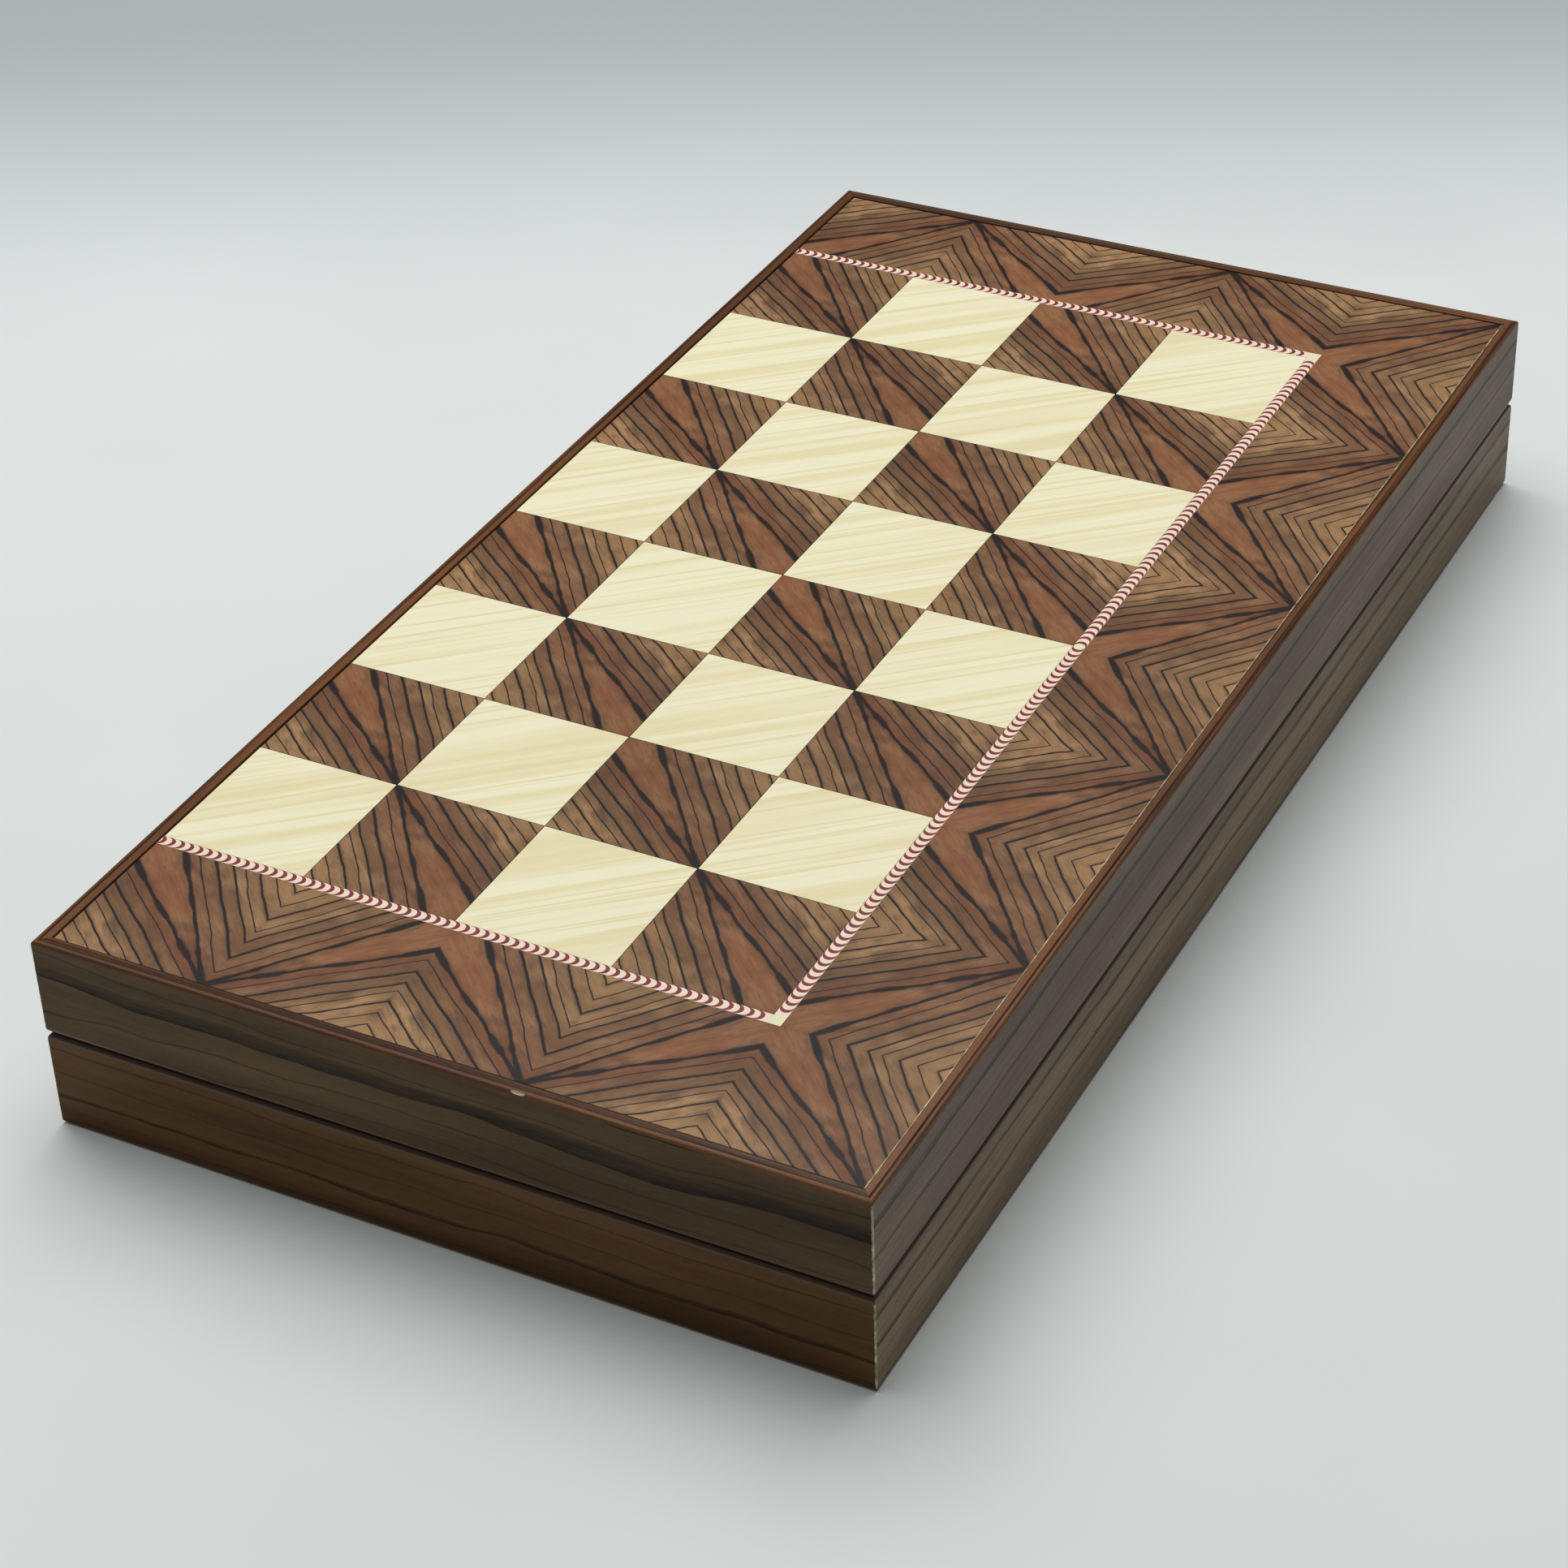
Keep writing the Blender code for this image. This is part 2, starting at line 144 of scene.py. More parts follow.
def new_group(name, takes, gives):
    """An empty node group. Sockets are named with their kind: Float, Vector or Color."""
    tree = bpy.data.node_groups.new(name, "ShaderNodeTree")
    for socket, kind in takes:
        tree.interface.new_socket(name=socket, in_out="INPUT", socket_type="NodeSocket" + kind)
    for socket, kind in gives:
        tree.interface.new_socket(name=socket, in_out="OUTPUT", socket_type="NodeSocket" + kind)
    taken = tree.nodes.new("NodeGroupInput").outputs
    given = tree.nodes.new("NodeGroupOutput").inputs
    return tree, taken, given


def place_group(tree, group, inputs):
    node = tree.nodes.new("ShaderNodeGroup")
    node.node_tree = group
    for name, value in inputs.items():
        if isinstance(value, bpy.types.NodeSocket):
            tree.links.new(value, node.inputs[name])
        else:
            node.inputs[name].default_value = value
    return node.outputs


def make_lacquer():
    """A brushed clear coat: hand smudges in its roughness, and a slight waviness."""
    takes = (("Vector", "Vector"), ("Gloss", "Float"), ("Smudge", "Float"))
    tree, taken, given = new_group("lacquer", takes, (("Roughness", "Float"), ("Height", "Float")))
    smudge = cloud(tree, taken["Vector"], 22.0, 4.0, 0.6)
    dust = cloud(tree, taken["Vector"], 900.0, 1.0)
    smudge = calc(tree, "MULTIPLY", calc(tree, "SUBTRACT", smudge, 0.5), taken["Smudge"])
    grit = fade(tree, dust, 0.66, 0.80, 0.0, 0.12)
    given_roughness = calc(tree, "ADD", calc(tree, "ADD", smudge, grit), taken["Gloss"], clamp=True)
    tree.links.new(given_roughness, given["Roughness"])
    wave = cloud(tree, taken["Vector"], 160.0, 2.0)
    peel = cloud(tree, taken["Vector"], 620.0, 1.0)
    height = calc(tree, "ADD", wave, calc(tree, "MULTIPLY", peel, 0.25))
    tree.links.new(height, given["Height"])
    return tree


def make_fibre():
    """Wood fibre: fine streaks along X, and short dark pores."""
    gives = (("Fibre", "Float"), ("Pore", "Float"))
    tree, taken, given = new_group("wood_fibre", (("Vector", "Vector"),), gives)
    fine = cloud(tree, stretch(tree, taken["Vector"], (110.0, 1500.0, 1500.0)), 1.0, 3.0, 0.6)
    broad = cloud(tree, stretch(tree, taken["Vector"], (30.0, 420.0, 420.0)), 1.0, 2.0)
    both = calc(tree, "ADD", calc(tree, "MULTIPLY", fine, 0.6), calc(tree, "MULTIPLY", broad, 0.4))
    tree.links.new(both, given["Fibre"])
    pores = cloud(tree, stretch(tree, taken["Vector"], (260.0, 2300.0, 2300.0)), 1.0, 1.0)
    tree.links.new(fade(tree, pores, 0.66, 0.74), given["Pore"])
    return tree


def make_streaks():
    """Growth lines cut along their length: hard on one side, fading on the other, and wandering."""
    takes = (
        ("Vector", "Vector"),
        ("Lines", "Float"),
        ("Wander", "Float"),
        ("Breadth", "Float"),
        ("Seed", "Float"),
    )
    gives = (("Line", "Float"), ("Band", "Float"))
    tree, taken, given = new_group("long_grain_streaks", takes, gives)
    parts = put(tree, "SeparateXYZ", {0: taken["Vector"]}).node.outputs
    across = calc(tree, "ADD", parts["Y"], parts["Z"])
    flat = put(tree, "CombineXYZ", {0: parts["X"], 1: across, 2: taken["Seed"]})
    slow = cloud(tree, stretch(tree, flat, (7.0, 26.0, 1.0)), 1.0, 2.0)
    quick = cloud(tree, stretch(tree, flat, (38.0, 120.0, 1.0)), 1.0, 1.0)
    sway = calc(tree, "MULTIPLY", calc(tree, "SUBTRACT", slow, 0.5), taken["Wander"])
    shiver = calc(tree, "MULTIPLY", calc(tree, "SUBTRACT", quick, 0.5), 0.45)
    field = calc(tree, "MULTIPLY", across, taken["Lines"])
    field = calc(tree, "ADD", calc(tree, "ADD", field, sway), shiver)
    number = calc(tree, "FLOOR", field)
    part = calc(tree, "FRACT", field)
    ticket = calc(tree, "ADD", number, taken["Seed"])
    luck = put(tree, "TexWhiteNoise", {"W": ticket}, noise_dimensions="1D")
    broad = calc(tree, "MAXIMUM", calc(tree, "MULTIPLY", calc(tree, "SUBTRACT", luck, 0.42), 1.7), 0.0)
    swell = fade(tree, slow, 0.35, 0.65, 0.6, 1.3)
    width = calc(tree, "MULTIPLY", calc(tree, "MULTIPLY", broad, taken["Breadth"]), swell)
    width = calc(tree, "ADD", width, 0.10)
    soft = calc(tree, "DIVIDE", part, width)
    line = calc(tree, "POWER", calc(tree, "SUBTRACT", 1.0, soft, clamp=True), 0.42)
    hard_edge = fade(tree, part, 0.0, 0.05)
    line = calc(tree, "MULTIPLY", line, hard_edge)
    strength = calc(tree, "ADD", calc(tree, "MULTIPLY", luck, 0.40), 0.6)
    tree.links.new(calc(tree, "MULTIPLY", line, strength), given["Line"])
    band = cloud(tree, stretch(tree, flat, (5.0, 60.0, 1.0)), 1.0, 3.0)
    tree.links.new(band, given["Band"])
    return tree


lacquer = make_lacquer()
wood_fibre = make_fibre()
long_grain_streaks = make_streaks()


def new_material(name):
    material = bpy.data.materials.new(name)
    material.use_nodes = True
    tree = material.node_tree
    shader = tree.nodes["Principled BSDF"]
    spot = tree.nodes.new("ShaderNodeTexCoord").outputs["Object"]
    return material, tree, shader, spot


def coat_with_lacquer(tree, shader, spot, gloss, relief=None, coat=0.25, shine=0.35, wave=0.14):
    """Finishes a wood material: lacquer roughness, a clear coat and a faint relief."""
    film = place_group(tree, lacquer, {"Vector": spot, "Gloss": gloss, "Smudge": 0.16})
    tree.links.new(film["Roughness"], shader.inputs["Roughness"])
    shader.inputs["Specular IOR Level"].default_value = shine
    shader.inputs["Coat Weight"].default_value = coat
    shader.inputs["Coat Roughness"].default_value = 0.12
    height = calc(tree, "MULTIPLY", film["Height"], 0.5)
    if relief is not None:
        height = calc(tree, "ADD", height, relief)
    bump = put(tree, "Bump", {"Height": height, "Strength": wave, "Distance": 0.00015})
    tree.links.new(bump, shader.inputs["Normal"])


def long_grain(
    name, turn, colours, lines, wander, breadth, seed, gloss, coat=0.25, shine=0.35, wave=0.14
):
    """Wood or foil whose grain runs along a rail. turn lays the grain along X or along Y."""
    material, tree, shader, spot = new_material(name)
    dark, base, light = colours
    along = stretch(tree, spot, (1.0, 1.0, 1.0), turn)
    inputs = {"Vector": along, "Lines": lines, "Wander": wander, "Breadth": breadth, "Seed": seed}
    streak = place_group(tree, long_grain_streaks, inputs)
    fibre = place_group(tree, wood_fibre, {"Vector": along})
    colour = tint(tree, fade(tree, streak["Band"], 0.30, 0.70), base, light)
    shadow = calc(tree, "MULTIPLY", fibre["Pore"], 0.35)
    colour = tint(tree, shadow, colour, dark)
    grey = ramp(tree, fibre["Fibre"], ((0.25, (0.78, 0.78, 0.78, 1)), (0.75, (1.16, 1.16, 1.16, 1))))
    colour = tint(tree, 1.0, colour, grey, "MULTIPLY")
    grainy = fade(tree, fibre["Fibre"], 0.35, 0.65, 1.0, 0.70)
    colour = tint(tree, calc(tree, "MULTIPLY", streak["Line"], grainy), colour, dark)
    tree.links.new(colour, shader.inputs["Base Color"])
    relief = calc(tree, "MULTIPLY", fibre["Fibre"], 0.3)
    coat_with_lacquer(tree, shader, spot, gloss, relief, coat, shine, wave)
    return material


quarter = math.pi / 2
# The front and hinge rails' foil colours are greyer and lighter than the end rails': partly the foil's own
# colour, partly a painted reflection of the pale floor in their lacquer.
upper_front_sheen_and_foil_colours = (paint(24, 18, 16), paint(108, 93, 78), paint(136, 118, 100))
lower_front_sheen_and_foil_colours = (paint(30, 21, 16), paint(118, 99, 77), paint(146, 125, 99))
upper_end_colours = (paint(12, 9, 8), paint(80, 63, 43), paint(108, 87, 60))
lower_end_colours = (paint(12, 6, 5), paint(80, 54, 28), paint(108, 78, 44))
edge_colours = (paint(18, 9, 6), paint(80, 48, 27), paint(120, 76, 42))
inside_colours = (paint(36, 22, 16), paint(88, 56, 36), paint(108, 72, 46))
# The rim and its roundings, where the trays meet, are painted a darker brown than the lips: partly the
# wood's colour, partly painted shade in the seam between the trays.
rim_colours_with_painted_shade = (paint(14, 8, 5), paint(68, 43, 22), paint(96, 62, 32))
bare_wood = {}
for direction, turn in (("front", 0.0), ("end", quarter)):
    bare_wood[direction] = (
        long_grain(
            f"rail_edge_{direction}", turn, edge_colours, 700.0, 3.0, 1.0, 5.0, 0.26, 0.04, 0.16, 0.6
        ),
        long_grain(f"rail_inside_{direction}", turn, inside_colours, 240.0, 2.0, 0.7, 7.0, 0.40),
        long_grain(f"rail_rim_painted_shade_{direction}", turn, rim_colours_with_painted_shade, 300.0, 2.0, 0.7, 9.0, 0.34),
    )
# The long rails' foil: its greyer, lighter tone is partly a painted reflection.
upper_front = long_grain(
    "upper_front_foil_and_painted_sheen", 0.0, upper_front_sheen_and_foil_colours, 300.0, 1.8, 0.9, 3.0, 0.46, 0.0, 0.10
)
lower_front = long_grain(
    "lower_front_foil_and_painted_sheen", 0.0, lower_front_sheen_and_foil_colours, 220.0, 1.5, 0.6, 6.0, 0.46, 0.0, 0.10
)
upper_end = long_grain(
    "upper_end_foil", quarter, upper_end_colours, 125.0, 2.4, 0.70, 11.0, 0.42, 0.02, 0.08
)
lower_end = long_grain(
    "lower_end_foil", quarter, lower_end_colours, 130.0, 0.8, 0.20, 14.0, 0.42, 0.02, 0.08
)
rail_finish = {
    ("upper", "front"): (upper_front, *bare_wood["front"]),
    ("lower", "front"): (lower_front, *bare_wood["front"]),
    ("upper", "end"): (upper_end, *bare_wood["end"]),
    ("lower", "end"): (lower_end, *bare_wood["end"]),
}


def whole(bm):
    return bm.verts[:] + bm.edges[:] + bm.faces[:]


def box_in(bm, low, high):
    """A box between two corners. Returns its vertices."""
    low, high = Vector(low), Vector(high)
    place = Matrix.Translation((low + high) / 2) @ Matrix.Diagonal((*(high - low), 1.0))
    return bmesh.ops.create_cube(bm, size=1.0, matrix=place)["verts"]


def round_edges(bm, edges, radius, segments=2):
    bmesh.ops.bevel(
        bm,
        geom=edges,
        offset=radius,
        offset_type="OFFSET",
        segments=segments,
        profile=0.5,
        affect="EDGES",
        material=-1,
    )


def hand_over(bm, name, tray, materials, replaces=()):
    """Makes the finished bmesh a piece of its tray, at its place in the shut box."""
    bmesh.ops.transform(bm, matrix=tray_place[tray], verts=bm.verts)
    mesh = bpy.data.meshes.new(name)
    bm.to_mesh(mesh)
    bm.free()
    for material in materials:
        mesh.materials.append(material)
    mesh.shade_smooth()
    mesh.set_sharp_from_angle(angle=sharp_angle)
    piece = bpy.data.objects.new(name, mesh)
    bpy.context.scene.collection.objects.link(piece)
    flat = piece.modifiers.new("flat_faces_stay_flat", "WEIGHTED_NORMAL")
    flat.keep_sharp = True
    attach(piece, tray_body[tray])
    if replaces:
        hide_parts(*replaces)
    return piece


def carve(piece, cutters, tray, operation="DIFFERENCE", paint_slot=0):
    """Cuts or joins shapes, given as bmeshes in the tray's frame, with a finished piece."""
    piece.modifiers.clear()
    helpers = []
    for cutter in cutters:
        bmesh.ops.transform(cutter, matrix=tray_place[tray], verts=cutter.verts)
        for face in cutter.faces:
            face.material_index = paint_slot
        mesh = bpy.data.meshes.new("cutter")
        cutter.to_mesh(mesh)
        cutter.free()
        for material in piece.data.materials:
            mesh.materials.append(material)
        helper = bpy.data.objects.new("cutter", mesh)
        bpy.context.scene.collection.objects.link(helper)
        modifier = piece.modifiers.new("cut", "BOOLEAN")
        modifier.operation = operation
        modifier.object = helper
        modifier.solver = "EXACT"
        helpers.append(helper)
    evaluated = piece.evaluated_get(bpy.context.evaluated_depsgraph_get())
    carved = bpy.data.meshes.new_from_object(evaluated)
    piece.modifiers.clear()
    piece.data = carved
    carved.name = piece.name
    carved.shade_smooth()
    carved.set_sharp_from_angle(angle=sharp_angle)
    flat = piece.modifiers.new("flat_faces_stay_flat", "WEIGHTED_NORMAL")
    flat.keep_sharp = True
    for helper in helpers:
        bpy.data.objects.remove(helper, do_unlink=True)


def rail_edges(bm, u, w):
    """The edges that run the rail's whole length at one corner of its section."""
    spot = Vector((u, w))
    return [
        edge
        for edge in bm.edges
        if all((vert.co.yz - spot).length < 0.00001 for vert in edge.verts)
    ]


def rail_body(length):
    """A rail along X. Its section: u runs inwards from the outer face, w from the lip to the rim."""
    first, deepest, last = bead_groove
    section = [
        (0.0, 0.0),
        (first, 0.0),
        (deepest, bead_groove_depth),
        (last, 0.0),
        (lip_width, 0.0),
        (lip_width, shoulder_depth),
        (rail_thickness, shoulder_depth),
        (rail_thickness, rail_height),
        (0.0, rail_height),
    ]
    bm = bmesh.new()
    end = bm.faces.new([bm.verts.new((-length / 2, u, w)) for u, w in section])
    grown = bmesh.ops.extrude_face_region(bm, geom=[end])["geom"]
    moved = [item for item in grown if isinstance(item, bmesh.types.BMVert)]
    bmesh.ops.translate(bm, verts=moved, vec=(length, 0.0, 0.0))
    bmesh.ops.recalc_face_normals(bm, faces=bm.faces)
    round_edges(bm, rail_edges(bm, 0.0, 0.0), outer_round, 5)
    round_edges(bm, rail_edges(bm, lip_width, 0.0), lip_round, 3)
    round_edges(bm, rail_edges(bm, 0.0, rail_height), rim_round, 6)
    round_edges(bm, rail_edges(bm, rail_thickness, rail_height), inner_rim_round, 3)
    # Slot 0 is the foil, 1 the bare wood, 2 the inside face, and 3 the rim with its roundings, painted
    # darker as painted shade in the seam.
    for face in bm.faces:
        outside = face.normal.y < -0.999
        inside = face.normal.y > 0.999 and face.calc_center_median().y > lip_width + lip_round
        rim = face.calc_center_median().z > shoulder_depth + rim_round
        face.material_index = 0 if outside else 2 if inside else 3 if rim else 1
    for side in (-1, 1):
        cut = bmesh.ops.bisect_plane(
            bm,
            geom=whole(bm),
            dist=0.000001,
            plane_co=(side * (length / 2 - 0.00002), 0.0, 0.0),
            plane_no=(side, 1.0, 0.0),
            clear_outer=True,
        )
        rim = [item for item in cut["geom_cut"] if isinstance(item, bmesh.types.BMEdge)]
        bmesh.ops.edgeloop_fill(bm, edges=rim, mat_nr=1)
    bmesh.ops.recalc_face_normals(bm, faces=bm.faces)
    return bm


rail_sides = (
    ("front_rail", 0, half_length, half_width, "front"),
    ("right_rail", 90, half_width, half_length, "end"),
    ("hinge_rail", 180, half_length, half_width, "front"),
    ("left_rail", 270, half_width, half_length, "end"),
)
rails = {}
for tray in tray_body:
    for side, turn, reach, depth, finish in rail_sides:
        bm = rail_body(2 * reach)
        place = Matrix.Rotation(math.radians(turn), 4, "Z") @ Matrix.Translation((0.0, -depth, 0.0))
        bmesh.ops.transform(bm, matrix=place, verts=bm.verts)
        node = f"{tray}_{side}"
        materials = rail_finish[tray, finish]
        rails[node] = hand_over(bm, f"{node}_wood", tray, materials, [node])


# A knock has broken a chip out of the near end rail's outer top edge, at about the middle.
raw_colours = (paint(120, 92, 62), paint(186, 156, 116), paint(216, 190, 150))
raw_wood = long_grain("raw_wood", quarter, raw_colours, 900.0, 3.0, 0.5, 21.0, 0.5, 0.0)
chip = bmesh.new()
bmesh.ops.create_icosphere(chip, subdivisions=2, radius=0.0011)
chip_place = Matrix.Translation((half_length + 0.0002, -0.025, -0.0001))
chip_shape = Matrix.Diagonal((0.9, 2.6, 0.8, 1.0))
bmesh.ops.transform(chip, matrix=chip_place @ chip_shape, verts=chip.verts)
rails["upper_right_rail"].data.materials.append(raw_wood)
carve(rails["upper_right_rail"], [chip], "upper", "DIFFERENCE", 4)


# ---------------------------------------------------------------------------------------------
# Mitre glue lines
# Pale glue squeezed out of the mitres and sanded back. It shows as a thin, ragged line down each
# corner of a tray.
# ---------------------------------------------------------------------------------------------
glue_proud = 0.00004
glue_steps = 40


def glue_and_edge_highlight_material():
    material, tree, shader, spot = new_material("glue_and_painted_edge_highlight")
    patch = cloud(tree, spot, 420.0, 3.0)
    stops = ((0.3, paint(104, 96, 70)), (0.5, paint(166, 158, 122)), (0.7, paint(212, 204, 168)))
    colour = ramp(tree, patch, stops)
    tree.links.new(colour, shader.inputs["Base Color"])
    coat_with_lacquer(tree, shader, spot, 0.45, None, 0.2)
    return material


# This glue material also draws the painted highlight along each panel's front edge.
glue = glue_and_edge_highlight_material()


def glue_line(bm, x, y, breadth):
    """A narrow upright bar in one corner, squashed to a ragged breadth step by step."""
    first_vert, first_edge = len(bm.verts), len(bm.edges)
    box_in(bm, (0.0, 0.0, 0.0012), (breadth, breadth, rail_height - 0.0016))
    bm.edges.ensure_lookup_table()
    around = bm.edges[first_edge:]
    upright = [edge for edge in around if abs(edge.verts[0].co.z - edge.verts[1].co.z) > breadth * 2]
    bmesh.ops.subdivide_edges(bm, edges=upright, cuts=glue_steps, use_grid_fill=True)
    bm.verts.ensure_lookup_table()
    fresh = bm.verts[first_vert:]
    towards = Vector((-math.copysign(1.0, x), -math.copysign(1.0, y)))
    for vert in fresh:
        ragged = 0.72 + 0.28 * math.sin(vert.co.z * 2900.0) * math.sin(vert.co.z * 1130.0 + x)
        vert.co.x = x + towards.x * (vert.co.x * ragged - glue_proud)
        vert.co.y = y + towards.y * (vert.co.y * ragged - glue_proud)


glue_breadth = {"near": 0.0006, "far": 0.00025}
for tray, near_side in (("lower", -1), ("upper", 1)):
    bm = bmesh.new()
    for x in (-half_length, half_length):
        for y in (-half_width, half_width):
            near = y < 0 and x * near_side > 0
            glue_line(bm, x, y, glue_breadth["near" if near else "far"])
    bmesh.ops.recalc_face_normals(bm, faces=bm.faces)
    hand_over(bm, f"{tray}_mitre_glue_lines", tray, [glue])


# ---------------------------------------------------------------------------------------------
# Board panels
# A thin ply panel lies in the rails' rebate. Both of its faces are veneered, and its outer face
# sits a little below the rails' lip, with a narrow dark joint all round.
# ---------------------------------------------------------------------------------------------
panel_low, panel_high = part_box("lower_board_panel")
panel_outer = panel_low.z
panel_inner = panel_high.z
veneer = 0.0005
field_veneer = 0.0004
joint = 0.0004
board_x = half_length - lip_width - joint
board_y = half_width - lip_width - joint


def ply_material():
    """Dark-stained ply: it only shows in the joints between the veneers."""
    material, tree, shader, spot = new_material("stained_ply")
    layers = put(tree, "TexWave", {"Vector": spot, "Scale": 600.0, "Distortion": 1.0}, bands_direction="Z")
    colour = ramp(tree, layers.node.outputs["Fac"], ((0.0, paint(28, 19, 15)), (1.0, paint(46, 31, 23))))
    tree.links.new(colour, shader.inputs["Base Color"])
    coat_with_lacquer(tree, shader, spot, 0.55, None, 0.2)
    return material


stained_ply = ply_material()


def add_painted_edge_highlight(bm, side, low_x, high_x):
    """A ragged little pale bar along one long edge of the panel, step by step along X. It is a painted
    highlight, standing in for the light on the lacquer at the panel's edge.
    """
    first_vert, first_edge = len(bm.verts), len(bm.edges)
    middle = side * (board_y + joint / 2)
    low = (low_x, middle - joint * 0.45, panel_outer - 0.0001)
    high = (high_x, middle + joint * 0.45, panel_outer + 0.0003)
    box_in(bm, low, high)
    bm.edges.ensure_lookup_table()
    around = bm.edges[first_edge:]
    along = [edge for edge in around if abs(edge.verts[0].co.x - edge.verts[1].co.x) > joint * 2]
    bmesh.ops.subdivide_edges(bm, edges=along, cuts=119, use_grid_fill=True)
    bm.verts.ensure_lookup_table()
    for vert in bm.verts[first_vert:]:
        ragged = 0.75 + 0.25 * math.sin(vert.co.x * 1370.0) * math.sin(vert.co.x * 410.0 + side)
        vert.co.y = middle + (vert.co.y - middle) * ragged


# Painted highlight: a pale bar in the glue's colour lies in the front joint, in place of the light caught
# by the lacquer along the panel's edge.
for tray in tray_body:
    bm = bmesh.new()
    add_painted_edge_highlight(bm, -1, -board_x, board_x)
    bmesh.ops.recalc_face_normals(bm, faces=bm.faces)
    hand_over(bm, f"{tray}_panel_edge_painted_highlight", tray, [glue])
for tray in tray_body:
    bm = bmesh.new()
    slab = 0.0001
    low = (-board_x + slab, -board_y + slab, panel_outer + veneer)
    high = (board_x - slab, board_y - slab, panel_inner - field_veneer)
    box_in(bm, low, high)
    round_edges(bm, bm.edges[:], 0.0002)
    hand_over(bm, f"{tray}_panel_core", tray, [stained_ply], [f"{tray}_board_panel"])


# ---------------------------------------------------------------------------------------------
# Walnut veneers: the border and the dark squares
# Every walnut tile is cut from the same run of figured veneer and laid as a mirror image of its
# neighbours, so that the dark veins meet in stars and nested chevrons.
# ---------------------------------------------------------------------------------------------
square = 0.0469
border_tile = 0.0472
rope_width = 0.0036
seam = 0.00012
grid_x = 4 * square
grid_shift = {"lower": 0.0021, "upper": -0.0021}
panel_edge_y = half_width - lip_width
first_row_y = panel_edge_y + 0.0017
last_row_y = first_row_y - 4 * square


def make_vein():
    """One dark vein along a line where the field has a given level, with a halo on its lower side."""
    takes = (("Field", "Float"), ("Level", "Float"), ("Half Width", "Float"), ("Halo", "Float"))
    tree, taken, given = new_group("dark_vein", takes, (("Mask", "Float"),))
    offset = calc(tree, "SUBTRACT", taken["Field"], taken["Level"])
    inner = calc(tree, "MULTIPLY", taken["Half Width"], 0.45)
    outer = calc(tree, "MULTIPLY", taken["Half Width"], 1.25)
    core = fade(tree, calc(tree, "ABSOLUTE", offset), inner, outer, 1.0, 0.0)
    below = calc(tree, "LESS_THAN", offset, 0.0)
    halo = calc(tree, "DIVIDE", calc(tree, "MULTIPLY", offset, -1.0), taken["Halo"])
    halo = calc(tree, "POWER", calc(tree, "SUBTRACT", 1.0, halo, clamp=True), 1.6)
    halo = calc(tree, "MULTIPLY", calc(tree, "MULTIPLY", halo, below), 0.50)
    tree.links.new(calc(tree, "MAXIMUM", core, halo), given["Mask"])
    return tree


dark_vein = make_vein()
vein_slope = 1.25
vein_levels = (
    (0.115, 0.0075, 0.02),
    (0.255, 0.0180, 0.07),
    (0.400, 0.0135, 0.05),
    (0.500, 0.0075, 0.02),
    (0.625, 0.0135, 0.05),
    (0.755, 0.0075, 0.02),
    (0.890, 0.0100, 0.03),
)


